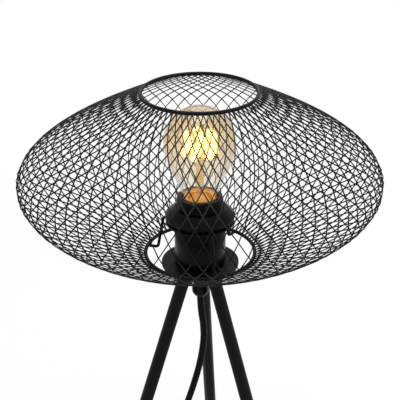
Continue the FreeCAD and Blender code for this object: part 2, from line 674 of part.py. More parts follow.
def make_cap():
    """Screw cap of the bulb, with rounded threads below a smooth collar."""
    thread_low = CAP_BOTTOM + CAP_THREAD_PITCH / 2
    thread_high = thread_low + CAP_THREAD_PITCH * CAP_THREADS
    hole = TIP_RADIUS + CAP_WALL
    ridges = []
    for turn in range(CAP_THREADS):
        root = thread_low + CAP_THREAD_PITCH * turn
        ridges += [
            (CAP_ROOT_RADIUS, root), (CAP_RADIUS, root + 0.35 * CAP_THREAD_PITCH),
            (CAP_RADIUS, root + 0.65 * CAP_THREAD_PITCH)]
    return turned(
        [(hole, CAP_BOTTOM), (CAP_ROOT_RADIUS, CAP_BOTTOM)] + ridges
        + [(CAP_ROOT_RADIUS, thread_high), (CAP_RADIUS, thread_high + CAP_THREAD_DEPTH),
           (CAP_RADIUS, CAP_TOP), (CAP_BORE, CAP_TOP), (CAP_BORE, CAP_BOTTOM + CAP_WALL),
           (hole, CAP_BOTTOM + CAP_WALL)])


def make_bulb():
    """Bulb with its cap, insulator, tip contact, amber glass and stem."""
    outer, low, top = glass_outline(0)
    inner, inner_low, inner_top = glass_outline(GLASS_WALL)
    glass = revolved(
        outer + [Part.makeLine(top, inner_top)] + inner[::-1] + [Part.makeLine(inner_low, low)])
    insulator = turned([
        (0, INSULATOR_BOTTOM), (TIP_RADIUS + CAP_WALL, INSULATOR_BOTTOM), (CAP_BORE, CAP_BOTTOM),
        (0, CAP_BOTTOM)])
    tip_bevel = TIP_HEIGHT / 2
    tip_top = INSULATOR_BOTTOM - SEAT_GAP
    tip = turned([
        (0, TIP_BOTTOM), (TIP_RADIUS - tip_bevel, TIP_BOTTOM), (TIP_RADIUS, TIP_BOTTOM + tip_bevel),
        (TIP_RADIUS, tip_top), (0, tip_top)])
    foot = CAP_TOP - GLASS_NECK
    flare = NECK_RADIUS - GLASS_WALL - SEAT_GAP
    stem_top = CAP_TOP + STEM_HEIGHT
    stem = turned([
        (0, foot), (flare, foot), (flare, foot + GLASS_WALL), (STEM_RADIUS, foot + flare),
        (STEM_RADIUS, stem_top - STEM_RADIUS), (STEM_RADIUS / 2, stem_top), (0, stem_top)])
    return {
        "bulb_glass": glass, "bulb_cap": make_cap(), "bulb_insulator": insulator, "bulb_tip": tip,
        "bulb_stem": stem}


def make_filaments():
    """Straight filaments leaning round the stem, held at both ends by one wire frame."""
    stem_top = CAP_TOP + STEM_HEIGHT
    low = stem_top + SUPPORT_RADIUS + SEAT_GAP
    high = low + FILAMENT_RISE
    clear = SUPPORT_RADIUS + RUNNING_GAP + FILAMENT_RADIUS / 2
    bars = []
    wires = [bar_between(Vector(0, 0, stem_top), Vector(0, 0, high + SUPPORT_RADIUS), SUPPORT_RADIUS)]
    for index in range(FILAMENTS):
        azimuth = 360.0 * index / FILAMENTS
        foot = polar(FILAMENT_LOW_RADIUS, azimuth, low)
        head = polar(FILAMENT_HIGH_RADIUS, azimuth + FILAMENT_TWIST, high)
        wires.append(bar_between(Vector(0, 0, low), foot, SUPPORT_RADIUS))
        wires.append(bar_between(Vector(0, 0, high), head, SUPPORT_RADIUS))
        along = (head - foot).normalize()
        bars.append(bar_between(foot + along * clear, head - along * clear, FILAMENT_RADIUS))
    return {
        "bulb_filaments": Part.makeCompound(bars), "filament_supports": wires[0].multiFuse(wires[1:])}


def biarc(start, start_way, end, end_way):
    """Two tangent arcs from one point and direction to another."""
    chord = end - start
    a = 2 * (start_way.dot(end_way) - 1)
    b = -2 * chord.dot(start_way + end_way)
    c = chord.dot(chord)
    reach = (-b - math.sqrt(b * b - 4 * a * c)) / (2 * a)
    first = start + start_way * reach
    second = end - end_way * reach
    joint = (first + second) * 0.5
    edges = []
    for near, corner, far in ((start, first, joint), (joint, second, end)):
        weight = (far - near).Length / (2 * reach)
        middle = (near + corner * (2 * weight) + far) * (1 / (2 + 2 * weight))
        edges.append(arc_edge(near, middle, far))
    return edges


def coil_point(turns):
    """Point and direction on the coil, by the turns before (-) or after (+) its middle.

    The cord spirals in on the lower layer, climbs in the half turn round the middle and spirals out above.
    """
    last = COIL_QUARTER_TURNS / 8
    angle = 2 * math.pi * (last + turns)
    radius = COIL_INNER_RADIUS + COIL_PITCH * abs(turns)
    climbed = min(max(2 * turns + 0.5, 0.0), 1.0)
    height = COIL_HEIGHT + COIL_PITCH * climbed
    widening = 0.0 if abs(turns) in (0.0, last) else math.copysign(COIL_PITCH, turns)
    rising = 2 * COIL_PITCH if turns == 0 else 0.0
    outwards = Vector(math.cos(angle), math.sin(angle), 0)
    around = Vector(-math.sin(angle), math.cos(angle), 0)
    way = around * (2 * math.pi * radius) + outwards * widening + Vector(0, 0, rising)
    place = Vector(COIL_CENTRE_X, COIL_CENTRE_Y, height) + outwards * radius
    return place, way.normalize()


def least_gap(path):
    """Least clear gap between the turns of the cord on a path, measured on points along it."""
    points = path.discretize(Number=1200)
    step = path.Length / (len(points) - 1)
    skip = int(4 * COIL_INNER_RADIUS / step)
    least = min(
        points[i].distanceToPoint(points[j])
        for i in range(len(points)) for j in range(i + skip, len(points)))
    return least - CORD_DIAMETER


def make_coil():
    """Coil of the cord's spare length: one unbroken tube in two layers."""
    last = COIL_QUARTER_TURNS / 8
    whole_quarters = COIL_QUARTER_TURNS // 2
    stations = [-last] + [quarter / 4 for quarter in range(-whole_quarters, whole_quarters + 1)] + [last]
    nodes = [coil_point(turns) for turns in stations]
    edges = [Part.makeLine(COIL_START, nodes[0][0])]
    for (start, start_way), (end, end_way) in zip(nodes, nodes[1:]):
        edges += biarc(start, start_way, end, end_way)
    edges.append(Part.makeLine(nodes[-1][0], COIL_END))
    path = Part.Wire(edges)
    coil = swept(path, CORD_RADIUS)
    print("cord_coil length", round(path.Length, 1), "volume share", volume_share(coil, path))
    print("cord_coil least gap", round(least_gap(path), 2))
    return coil


def make_tie():
    """Flat band round one side of the coil."""
    inside = COIL_INNER_RADIUS - CORD_RADIUS - 2 * RUNNING_GAP
    outside = COIL_OUTER_RADIUS + CORD_RADIUS + RUNNING_GAP
    crown = COIL_HEIGHT + COIL_PITCH + CORD_RADIUS + RUNNING_GAP
    half = TIE_WIDTH / 2
    window = Part.makeBox(
        outside - inside, TIE_WIDTH, crown - TIE_THICKNESS, Vector(inside, -half, TIE_THICKNESS))
    tie = Part.makeBox(
        outside - inside + 2 * TIE_THICKNESS, TIE_WIDTH, crown + TIE_THICKNESS,
        Vector(inside - TIE_THICKNESS, -half, 0)).cut(window)
    tie.rotate(Vector(0, 0, 0), Vector(0, 0, 1), TIE_AZIMUTH)
    tie.translate(Vector(COIL_CENTRE_X, COIL_CENTRE_Y, 0))
    return tie


def make_cord():
    """Cord's free stretches, coil and tie."""
    return {
        "cord_hanging": cord_stretch("cord_hanging", HANGING_ROUTE),
        "cord_link": cord_stretch("cord_link", LINK_ROUTE),
        "cord_tail": cord_stretch("cord_tail", TAIL_ROUTE),
        "cord_coil": make_coil(), "cord_tie": make_tie()}


def switch_block(inset):
    """Switch's outer form as a block with round corners, moved in by a wall."""
    block = Part.makeBox(
        SWITCH_LENGTH - 2 * inset, SWITCH_WIDTH - 2 * inset, SWITCH_HEIGHT - 2 * inset,
        Vector(SWITCH_START_X + inset, SWITCH_Y - SWITCH_WIDTH / 2 + inset, inset))
    uprights = [edge for edge in block.Edges if abs(edge.tangentAt(edge.FirstParameter).z) > 0.9]
    return block.makeFillet(SWITCH_CORNER - inset, uprights)


def make_switch_shells():
    """Hollow halves of the cord switch, split at the cord's axis, with a passage for the cord."""
    outer = switch_block(0)
    rims = [edge for edge in outer.Edges if abs(edge.tangentAt(edge.FirstParameter).z) < 0.1]
    shell = outer.makeFillet(SWITCH_EDGE, rims).cut(switch_block(SWITCH_WALL))
    shell = shell.cut(Part.makeCylinder(
        CORD_HOLE_RADIUS, SWITCH_LENGTH, Vector(SWITCH_START_X, SWITCH_Y, SWITCH_AXIS_HEIGHT),
        Vector(1, 0, 0)))
    return shell.common(slab(0, SWITCH_AXIS_HEIGHT)), shell.common(slab(SWITCH_AXIS_HEIGHT, SWITCH_HEIGHT))


def add_screw_bosses(lower, upper):
    """Both shells with bosses for their screws, and the screws."""
    screws = []
    hole = SWITCH_SCREW_RADIUS + SEAT_GAP
    seat = SWITCH_HEAD_HEIGHT + RUNNING_GAP
    root = SWITCH_WALL / 2
    shank_top = SWITCH_CEILING - RUNNING_GAP
    for sign in (-1, 1):
        place = Vector(SWITCH_CENTRE_X + sign * SWITCH_SCREW_X, SWITCH_Y + sign * SWITCH_SCREW_Y, 0)
        low_boss = Part.makeCylinder(
            SWITCH_BOSS_RADIUS, SWITCH_AXIS_HEIGHT - root, place + Vector(0, 0, root))
        high_boss = Part.makeCylinder(
            SWITCH_BOSS_RADIUS, SWITCH_HEIGHT - root - SWITCH_AXIS_HEIGHT,
            place + Vector(0, 0, SWITCH_AXIS_HEIGHT))
        drilled = Part.makeCylinder(hole, SWITCH_CEILING, place)
        counterbore = Part.makeCylinder(SWITCH_HEAD_RADIUS + SEAT_GAP, seat, place)
        lower = lower.fuse(low_boss).cut(drilled).cut(counterbore)
        upper = upper.fuse(high_boss).cut(drilled)
        head_low = place + Vector(0, 0, RUNNING_GAP)
        head = Part.makeCylinder(SWITCH_HEAD_RADIUS, SWITCH_HEAD_HEIGHT, head_low)
        shank = Part.makeCylinder(SWITCH_SCREW_RADIUS, shank_top - RUNNING_GAP, head_low)
        screws.append(head.fuse(shank).removeSplitter())
    return lower, upper, Part.makeCompound(screws)


def add_rocker_seat(lower, upper):
    """Lower shell with two posts that carry the rocker's trunnions, and upper shell with its window."""
    tilt = math.radians(ROCKER_TILT)
    reach = ROCKER_HALF_LENGTH * math.cos(tilt) + ROCKER_END_HEIGHT * math.sin(tilt) + RUNNING_GAP
    upper = upper.cut(Part.makeBox(
        2 * reach, 2 * ROCKER_SIDE, SWITCH_HEIGHT, ROCKER_PIVOT - Vector(reach, ROCKER_SIDE, 0)))
    root = SWITCH_WALL / 2
    for side in (-1, 1):
        near = SWITCH_Y + (ROCKER_SIDE if side > 0 else -ROCKER_SIDE - POST_THICKNESS)
        lower = lower.fuse(Part.makeBox(
            2 * POST_HALF_LENGTH, POST_THICKNESS, SWITCH_CEILING - RUNNING_GAP - root,
            Vector(SWITCH_CENTRE_X - POST_HALF_LENGTH, near, root)))
    half = ROCKER_SIDE + POST_THICKNESS
    bearing = Part.makeCylinder(
        TRUNNION_RADIUS + SEAT_GAP, 2 * half, ROCKER_PIVOT - Vector(0, half, 0), Vector(0, 1, 0))
    return lower.cut(bearing), upper


def make_rocker():
    """Rocker with two trunnions, tipped to its lit side."""
    profile = [
        (-ROCKER_HALF_LENGTH, ROCKER_END_HEIGHT), (-ROCKER_HALF_LENGTH, ROCKER_SHOULDER),
        (-ROCKER_KEEL, -ROCKER_KEEL), (ROCKER_KEEL, -ROCKER_KEEL), (ROCKER_HALF_LENGTH, ROCKER_SHOULDER),
        (ROCKER_HALF_LENGTH, ROCKER_END_HEIGHT), (0, ROCKER_DIP_HEIGHT)]
    body = Part.Face(Part.Wire(outline(profile))).extrude(Vector(0, 2 * ROCKER_HALF_WIDTH, 0))
    body.translate(Vector(0, -ROCKER_HALF_WIDTH, 0))
    half_pin = ROCKER_SIDE + POST_THICKNESS - RUNNING_GAP
    pin = Part.makeCylinder(TRUNNION_RADIUS, 2 * half_pin, Vector(0, -half_pin, 0), Vector(0, 1, 0))
    rocker = body.fuse(pin).removeSplitter()
    rocker.rotate(Vector(0, 0, 0), Vector(0, 1, 0), ROCKER_TILT)
    rocker.translate(ROCKER_PIVOT)
    return rocker


def make_switch():
    """Cord switch: two shells, rocker, contacts and the screws that hold the shells together."""
    lower, upper = make_switch_shells()
    lower, upper, screws = add_screw_bosses(lower, upper)
    lower, upper = add_rocker_seat(lower, upper)
    contacts = []
    for sign in (-1, 1):
        middle = Vector(SWITCH_CENTRE_X + sign * SWITCH_CONTACT_X, SWITCH_Y, SWITCH_WALL)
        contacts.append(Part.makeBox(
            SWITCH_CONTACT_LENGTH, SWITCH_CONTACT_WIDTH, SWITCH_CONTACT_HEIGHT,
            middle - Vector(SWITCH_CONTACT_LENGTH / 2, SWITCH_CONTACT_WIDTH / 2, 0)))
    return {
        "switch_lower_shell": lower.removeSplitter(), "switch_upper_shell": upper.removeSplitter(),
        "switch_rocker": make_rocker(), "switch_contacts": Part.makeCompound(contacts),
        "switch_screws": screws}


def plug_section(x, half_width, half_height):
    """Eight-cornered section of the plug across its axis."""
    flat_y = PLUG_TOP_FLAT * half_width / PLUG_HALF_WIDTH
    flat_z = PLUG_SIDE_FLAT * half_height / PLUG_HALF_HEIGHT
    right = [(half_width, -flat_z), (half_width, flat_z), (flat_y, half_height)]
    left = [(-half_width, flat_z), (-half_width, -flat_z), (-flat_y, -half_height), (flat_y, -half_height)]
    points = [Vector(x, y, z) for y, z in right + [(-flat_y, half_height)] + left]
    return Part.makePolygon(points + points[:1])


def make_plug():
    """Flat plug with a tapered cord relief and two round pins, built along +X and laid on the table."""
    front = RELIEF_LENGTH + PLUG_LENGTH
    body = Part.makeLoft([
        plug_section(RELIEF_LENGTH - CORD_SEAT, RELIEF_THICK_RADIUS, RELIEF_THICK_RADIUS),
        plug_section(RELIEF_LENGTH + PLUG_TAPER, PLUG_HALF_WIDTH, PLUG_HALF_HEIGHT),
        plug_section(front, PLUG_HALF_WIDTH, PLUG_HALF_HEIGHT)], True, True)
    relief = Part.makeCone(
        RELIEF_THIN_RADIUS, RELIEF_THICK_RADIUS, RELIEF_LENGTH, Vector(0, 0, 0), Vector(1, 0, 0))
    hole = Part.makeCylinder(CORD_HOLE_RADIUS, CORD_SEAT, Vector(0, 0, 0), Vector(1, 0, 0))
    pins = []
    straight = PIN_LENGTH - PIN_RADIUS
    for sign in (-1, 1):
        foot = Vector(front, sign * PIN_SPACING / 2, 0)
        shank = Part.makeCylinder(PIN_RADIUS, straight, foot, Vector(1, 0, 0))
        nose = Part.makeSphere(PIN_RADIUS, foot + Vector(straight, 0, 0))
        pins.append(shank.fuse(nose).removeSplitter())
    along = (TAIL_ROUTE[-1] - TAIL_ROUTE[-2]).normalize()
    turn = math.degrees(math.atan2(along.y, along.x))
    start = TAIL_ROUTE[-1] - along * CORD_SEAT
    pieces = {"plug_body": body.fuse(relief).cut(hole).removeSplitter(), "plug_pins": Part.makeCompound(pins)}
    for shape in pieces.values():
        shape.rotate(Vector(0, 0, 0), Vector(0, 0, 1), turn)
        shape.translate(start)
    return pieces


def main():
    """Build every piece and write one file per node."""
    pieces = {}
    for make in (make_tripod, make_holder, make_terminals, make_cord_grip, make_collar, make_strands,
                 make_shade_frame, make_bulb, make_filaments, make_cord, make_switch, make_plug):
        pieces.update(make())
    os.makedirs("parts", exist_ok=True)
    for name, shape in pieces.items():
        shape.exportStep(os.path.join("parts", name + ".step"))
    print(len(pieces), "nodes,", sum(len(shape.Solids) for shape in pieces.values()), "solids")


main()
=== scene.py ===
"""Dressed model of a tripod table lamp with a saucer shade of expanded metal.

Metres, +Z up, with the origin on the table under the lamp's axis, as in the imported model. The cord and
the plug are worked out in millimetres and scaled down.
"""

import logging
import math
from dataclasses import dataclass
from enum import Enum
from typing import Any, Iterable, Optional, Sequence, Union

import bmesh
import bpy
from mathutils import Matrix, Vector

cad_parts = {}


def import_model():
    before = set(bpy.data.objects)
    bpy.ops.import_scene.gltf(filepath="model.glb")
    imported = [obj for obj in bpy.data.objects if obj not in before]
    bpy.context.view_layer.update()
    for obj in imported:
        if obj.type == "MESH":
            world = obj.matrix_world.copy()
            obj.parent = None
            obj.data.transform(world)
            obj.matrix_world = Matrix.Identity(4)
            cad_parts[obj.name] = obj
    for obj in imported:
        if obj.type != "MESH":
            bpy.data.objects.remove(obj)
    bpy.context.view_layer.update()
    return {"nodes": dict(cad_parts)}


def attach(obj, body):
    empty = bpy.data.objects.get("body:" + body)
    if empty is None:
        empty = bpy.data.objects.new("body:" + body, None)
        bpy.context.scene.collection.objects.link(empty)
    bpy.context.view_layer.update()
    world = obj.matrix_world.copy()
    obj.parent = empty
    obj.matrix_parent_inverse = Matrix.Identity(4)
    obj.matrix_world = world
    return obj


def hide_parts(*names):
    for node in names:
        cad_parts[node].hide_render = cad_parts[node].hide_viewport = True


Colour = tuple[float, float, float]
Point = tuple[float, float, float]
Place = tuple[float, float]
Stops = Sequence[tuple[float, Colour]]
Mesh = bmesh.types.BMesh
Material = bpy.types.Material
Node = bpy.types.Node
Piece = bpy.types.Object
Pieces = dict[str, bpy.types.Object]
Socket = bpy.types.NodeSocket
Owner = Union[bpy.types.Material, bpy.types.World]

LOG = logging.getLogger("table_lamp")
MM = 0.001
FULL_TURN = 2 * math.pi
WHITE = (1.0, 1.0, 1.0, 1.0)
# Range that most values of a noise lie in.
NOISE_BAND = (0.3, 0.7)
# Largest share of a side that the rounding of one corner takes.
CORNER_SHARE = 0.4
# Points of a turned outline closer than this are one.
SEAM_GAP = 0.001 * MM
# Power at which a section of the plug is an ellipse.
ROUND_POWER = 2.0


class Body(Enum):
    """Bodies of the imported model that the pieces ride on."""

    STAND = "stand"
    SHADE = "shade"
    SHADE_RING = "shade_ring"
    BULB = "bulb"


class Slot(Enum):
    """Names of material slots, which seat is given for the new pieces."""

    BLACK_METAL = "black_metal"
    HOLDER_BLACK = "holder_black"
    SWITCH_BLACK = "switch_black"
    CORD_BLACK = "cord_black"
    AMBER_GLASS = "amber_glass"
    FILAMENT = "filament_yellow"


class ShaderGraph:
    """Nodes of one material or of the surround, with short ways to add and join them."""

    def __init__(self, owner: Owner, output: str = "ShaderNodeOutputMaterial") -> None:
        """Clear the owner's nodes down to its output.

        Args:
            owner: what the nodes belong to.
            output: type name of its output node.
        """
        owner.use_nodes = True
        self.owner = owner
        self.tree = owner.node_tree
        self.tree.nodes.clear()
        self.output = self.add(output)

    def add(self, kind: str, inputs: Optional[dict[Union[str, int], Any]] = None, **settings: Any) -> Node:
        """Add a node.

        Args:
            kind: type name of the node.
            inputs: by name or number of its sockets, their values or the sockets that feed them.
            settings: values of its properties by name.

        Returns:
            The new node.
        """
        node = self.tree.nodes.new(kind)
        for name, value in settings.items():
            setattr(node, name, value)
        for key, value in (inputs or {}).items():
            if isinstance(value, Socket):
                self.tree.links.new(value, node.inputs[key])
            else:
                node.inputs[key].default_value = value
        return node

    def noise(self, scale: float, detail: float, stretch: Point = (1.0, 1.0, 1.0)) -> Socket:
        """Add a noise on Object coordinates.

        Args:
            scale: cells per metre.
            detail: octaves of finer noise.
            stretch: scale along each axis before the noise.

        Returns:
            The noise's value socket.
        """
        place = self.add("ShaderNodeTexCoord").outputs["Object"]
        mapping = self.add("ShaderNodeMapping", {"Vector": place, "Scale": stretch})
        noise = self.add("ShaderNodeTexNoise", {
            "Vector": mapping.outputs["Vector"], "Scale": scale, "Detail": detail})
        return noise.outputs["Fac"]

    def height(self, low: float, high: float) -> Socket:
        """Socket that goes from 0 to 1 between two heights above the table.

        Args:
            low: height that gives 0.
            high: height that gives 1.

        Returns:
            The socket.
        """
        place = self.add("ShaderNodeTexCoord").outputs["Object"]
        parts = self.add("ShaderNodeSeparateXYZ", {"Vector": place})
        return self.spread(parts.outputs["Z"], (low, high), (0.0, 1.0))

    def spread(self, value: Socket, source: Place, target: Place) -> Socket:
        """Map a value from one range to another, clamped.

        Args:
            value: socket to map.
            source: range that is read.
            target: range that comes out.

        Returns:
            The mapped value's socket.
        """
        node = self.add("ShaderNodeMapRange", {
            "Value": value, "From Min": source[0], "From Max": source[1], "To Min": target[0],
            "To Max": target[1]})
        return node.outputs["Result"]

    def ramp(self, value: Socket, stops: Stops) -> Socket:
        """Colour ramp through stops.

        Args:
            value: socket that picks the colour.
            stops: positions from 0 to 1 with their colours, at least two.

        Returns:
            The colour's socket.
        """
        node = self.add("ShaderNodeValToRGB", {"Fac": value})
        elements = node.color_ramp.elements
        while len(elements) < len(stops):
            elements.new(1.0)
        for element, (position, colour) in zip(elements, stops):
            element.position = position
            element.color = (*colour, 1.0)
        return node.outputs["Color"]

    def bump(self, value: Socket, depth: float, strength: float = 1.0) -> Socket:
        """Socket of a normal bumped by a value, with its depth in metres and the share that shows."""
        node = self.add("ShaderNodeBump", {"Height": value, "Distance": depth, "Strength": strength})
        return node.outputs["Normal"]

    def lit(self, colour: Union[Socket, Sequence[float]], roughness: float, strength: float) -> Node:
        """Shader that glows in its own colour, which is given with its alpha or as a socket."""
        return self.add("ShaderNodeBsdfPrincipled", {
            "Base Color": colour, "Roughness": roughness, "Emission Color": colour,
            "Emission Strength": strength})

    def mixed(self, share: Socket, first: Node, second: Node) -> Node:
        """Mix two shaders by a socket with the second one's share."""
        return self.add("ShaderNodeMixShader", {0: share, 1: first.outputs[0], 2: second.outputs[0]})

    def seen_rays(self) -> Socket:
        """Socket that is 1 for rays that show a surface as it is seen, in metal and glass too.

        Returns:
            The socket.
        """
        path = self.add("ShaderNodeLightPath")
        seen = path.outputs["Is Camera Ray"]
        for name in ("Is Glossy Ray", "Is Transmission Ray"):
            either = self.add("ShaderNodeMath", {0: seen, 1: path.outputs[name]}, operation="MAXIMUM")
            seen = either.outputs[0]
        return seen

    def surface(self, shader: Node) -> Owner:
        """Put a shader on the output and return the owner."""
        self.tree.links.new(shader.outputs[0], self.output.inputs["Surface"])
        return self.owner


@dataclass(frozen=True)
class Coating:
    """Opaque paint, plastic or rubber with a fine skin and a slow drift in tone."""

    name: str
    colour: Colour
    pale: Colour
    roughness: Place
    specular: float
    grain: float
    depth: float
    drift: float = 14.0
    tone_band: Place = (0.35, 0.7)

    def material(self) -> Material:
        """Build the coating's material.

        Returns:
            The material.
        """
        graph = ShaderGraph(bpy.data.materials.new(self.name))
        drift = graph.noise(self.drift, detail=4.0)
        skin = graph.noise(1.0 / self.grain, detail=2.0)
        return graph.surface(graph.add("ShaderNodeBsdfPrincipled", {
            "Base Color": graph.ramp(drift, list(zip(self.tone_band, (self.colour, self.pale)))),
            "Roughness": graph.spread(drift, NOISE_BAND, self.roughness),
            "Specular IOR Level": self.specular,
            "Normal": graph.bump(skin, self.depth)}))


@dataclass(frozen=True)
class BareMetal:
    """Bare metal with fine turning marks across the lamp's axis."""

    name: str
    colour: Colour
    tarnish: Colour
    roughness: Place
    marks: float
    drift: float = 90.0
    tone_band: Place = (0.35, 0.75)
    mark_depth: float = 0.02 * MM
    mark_strength: float = 0.4
    mark_stretch: Point = (0.05, 0.05, 1.0)

    def material(self) -> Material:
        """Build the metal's material.

        Returns:
            The material.
        """
        graph = ShaderGraph(bpy.data.materials.new(self.name))
        drift = graph.noise(self.drift, detail=4.0)
        marks = graph.noise(1.0 / self.marks, detail=2.0, stretch=self.mark_stretch)
        return graph.surface(graph.add("ShaderNodeBsdfPrincipled", {
            "Base Color": graph.ramp(drift, list(zip(self.tone_band, (self.colour, self.tarnish)))),
            "Metallic": 1.0,
            "Roughness": graph.spread(marks, NOISE_BAND, self.roughness),
            "Normal": graph.bump(marks, self.mark_depth, self.mark_strength)}))


@dataclass(frozen=True)
class BulbGlass:
    """Thin glass whose tint changes with the height, above a band at the bulb's cap that glows warm:
    painted light of the filaments on the glass there.
    """

    name: str
    tints: Stops
    low: float
    high: float
    painted_glow_top: float
    painted_glow_fade: float
    index: float
    haze: float
    painted_glow_colour: Colour = (0.45, 0.245, 0.062)
    painted_glow_strength: float = 0.35
    painted_glow_roughness: float = 0.5
    ripples: float = 45.0
    ripple_depth: float = 0.1 * MM
    ripple_strength: float = 0.1

    def material(self) -> Material:
        """Build the glass's material, which lets the filaments' light through.

        Returns:
            The material.
        """
        graph = ShaderGraph(bpy.data.materials.new(self.name))
        tint = graph.ramp(graph.height(self.low, self.high), self.tints)
        ripples = graph.noise(self.ripples, detail=1.0)
        glass = graph.add("ShaderNodeBsdfPrincipled", {
            "Base Color": tint, "Transmission Weight": 1.0 - self.haze, "IOR": self.index, "Roughness": 0.0,
            "Normal": graph.bump(ripples, self.ripple_depth, self.ripple_strength)})
        film = graph.add("ShaderNodeBsdfTransparent", {"Color": tint})
        path = graph.add("ShaderNodeLightPath")
        clear = graph.mixed(path.outputs["Is Shadow Ray"], glass, film)
        # Painted light: the glass at the bulb's cap glows orange in place of the filaments' light falling
        # on it.
        painted_glow_shader = graph.lit((*self.painted_glow_colour, 1.0), self.painted_glow_roughness, self.painted_glow_strength)
        above = graph.height(self.painted_glow_top - self.painted_glow_fade, self.painted_glow_top)
        return graph.surface(graph.mixed(above, painted_glow_shader, clear))


@dataclass(frozen=True)
class Glow:
    """Lit core of a filament, paler at mid-height."""

    name: str
    tones: Stops
    low: float
    high: float
    strength: float
    roughness: float = 0.6

    def material(self) -> Material:
        """Build the glowing material.

        Returns:
            The material.
        """
        graph = ShaderGraph(bpy.data.materials.new(self.name))
        tone = graph.ramp(graph.height(self.low, self.high), self.tones)
        return graph.surface(graph.lit(tone, self.roughness, self.strength))


@dataclass(frozen=True)
class FilamentHalo:
    """Painted glow round a filament: a clear yellow halo, wider than the filament, lit from within and a
    little patchy.
    """

    name: str
    colour: Colour
    strength: float
    cover: float
    cover_spread: float = 0.15
    clear_tint: Colour = (1.0, 0.92, 0.7)
    roughness: float = 0.4
    patches: float = 260.0

    def material(self) -> Material:
        """Build the coat's material.

        Returns:
            The material.
        """
        graph = ShaderGraph(bpy.data.materials.new(self.name))
        painted_halo = graph.lit((*self.colour, 1.0), self.roughness, self.strength)
        clear = graph.add("ShaderNodeBsdfTransparent", {"Color": (*self.clear_tint, 1.0)})
        patches = graph.noise(self.patches, detail=1.0)
        least = self.cover * (1.0 - self.cover_spread)
        most = self.cover * (1.0 + self.cover_spread)
        share = graph.spread(patches, NOISE_BAND, (least, most))
        return graph.surface(graph.mixed(share, clear, painted_halo))


POWDER_COAT = Coating(
    "black_powder_coat", colour=(0.0034, 0.0034, 0.0046), pale=(0.0056, 0.0055, 0.0072),
    roughness=(0.38, 0.50), specular=0.08, grain=0.7 * MM, depth=0.02 * MM)
HOLDER_PLASTIC = Coating(
    "black_holder_plastic", colour=(0.0012, 0.0011, 0.0012), pale=(0.0022, 0.0020, 0.0021),
    roughness=(0.24, 0.34), specular=0.08, grain=0.35 * MM, depth=0.01 * MM)
SWITCH_PLASTIC = Coating(
    "black_switch_plastic", colour=(0.0050, 0.0050, 0.0056), pale=(0.0080, 0.0080, 0.0088),
    roughness=(0.38, 0.50), specular=0.15, grain=0.4 * MM, depth=0.015 * MM)
CORD_JACKET = Coating(
    "black_cord_jacket", colour=(0.0034, 0.0034, 0.0038), pale=(0.0052, 0.0052, 0.0057),
    roughness=(0.42, 0.56), specular=0.07, grain=0.6 * MM, depth=0.03 * MM)
TIE_PLASTIC = Coating(
    "black_tie_plastic", colour=(0.0080, 0.0080, 0.0085), pale=(0.0120, 0.0120, 0.0125),
    roughness=(0.50, 0.62), specular=0.2, grain=0.5 * MM, depth=0.03 * MM)
FOOT_RUBBER = Coating(
    "foot_rubber", colour=(0.016, 0.016, 0.016), pale=(0.026, 0.026, 0.025),
    roughness=(0.7, 0.85), specular=0.2, grain=0.5 * MM, depth=0.04 * MM)
INSERT_WHITE = Coating(
    "insert_enamel", colour=(0.80, 0.77, 0.70), pale=(0.72, 0.68, 0.60),
    roughness=(0.2, 0.3), specular=0.5, grain=1.5 * MM, depth=0.02 * MM)
INSULATOR_BLACK = Coating(
    "black_glaze", colour=(0.008, 0.008, 0.009), pale=(0.012, 0.012, 0.014),
    roughness=(0.12, 0.2), specular=0.5, grain=1.2 * MM, depth=0.02 * MM)
LEAD_BROWN = Coating(
    "brown_lead_jacket", colour=(0.16, 0.07, 0.03), pale=(0.2, 0.09, 0.04),
    roughness=(0.4, 0.5), specular=0.4, grain=0.5 * MM, depth=0.02 * MM)
BRASS = BareMetal(
    "brass", colour=(0.78, 0.56, 0.22), tarnish=(0.55, 0.36, 0.13), roughness=(0.22, 0.38), marks=0.3 * MM)
STEEL = BareMetal(
    "zinc_steel", colour=(0.62, 0.62, 0.64), tarnish=(0.48, 0.47, 0.45), roughness=(0.28, 0.42),
    marks=0.3 * MM)
CAP_METAL = BareMetal(
    "cap_aluminium", colour=(0.78, 0.76, 0.72), tarnish=(0.62, 0.60, 0.56), roughness=(0.25, 0.4),
    marks=0.4 * MM)
# Each glass glows orange at its lowest part: painted light of the filaments.
AMBER_GLASS = BulbGlass(
    "amber_glass",
    ((0.0, (0.92, 0.90, 0.87)), (0.3, (0.90, 0.85, 0.78)), (0.6, (0.89, 0.77, 0.57)),
     (0.9, (0.87, 0.75, 0.58)), (1.0, (0.74, 0.67, 0.58))),
    low=0.328, high=0.408, painted_glow_top=0.3297, painted_glow_fade=0.0008, index=1.28, haze=0.0)
STEM_GLASS = BulbGlass(
    "stem_glass",
    ((0.0, (0.96, 0.90, 0.80)), (0.25, (0.98, 0.88, 0.64)), (0.4, (1.0, 0.70, 0.24)),
     (0.55, (1.0, 0.82, 0.48)), (1.0, (0.98, 0.92, 0.80))),
    low=0.332, high=0.364, painted_glow_top=0.3345, painted_glow_fade=0.004, index=1.3, haze=0.08)
FILAMENT_CORE = Glow(
    "lit_filament",
    ((0.0, (1.0, 0.84, 0.46)), (0.2, (1.0, 0.96, 0.86)), (0.8, (1.0, 0.97, 0.88)),
     (1.0, (1.0, 0.86, 0.50))),
    low=0.3647, high=0.3867, strength=7.0)
# Painted glow: a halo wider than each filament that glows with its light.
FILAMENT_HALO = FilamentHalo("painted_filament_halo", colour=(1.0, 0.77, 0.30), strength=1.5, cover=0.6)


def link(piece: Piece) -> Piece:
    """Put an object into the scene."""
    bpy.context.scene.collection.objects.link(piece)
    return piece


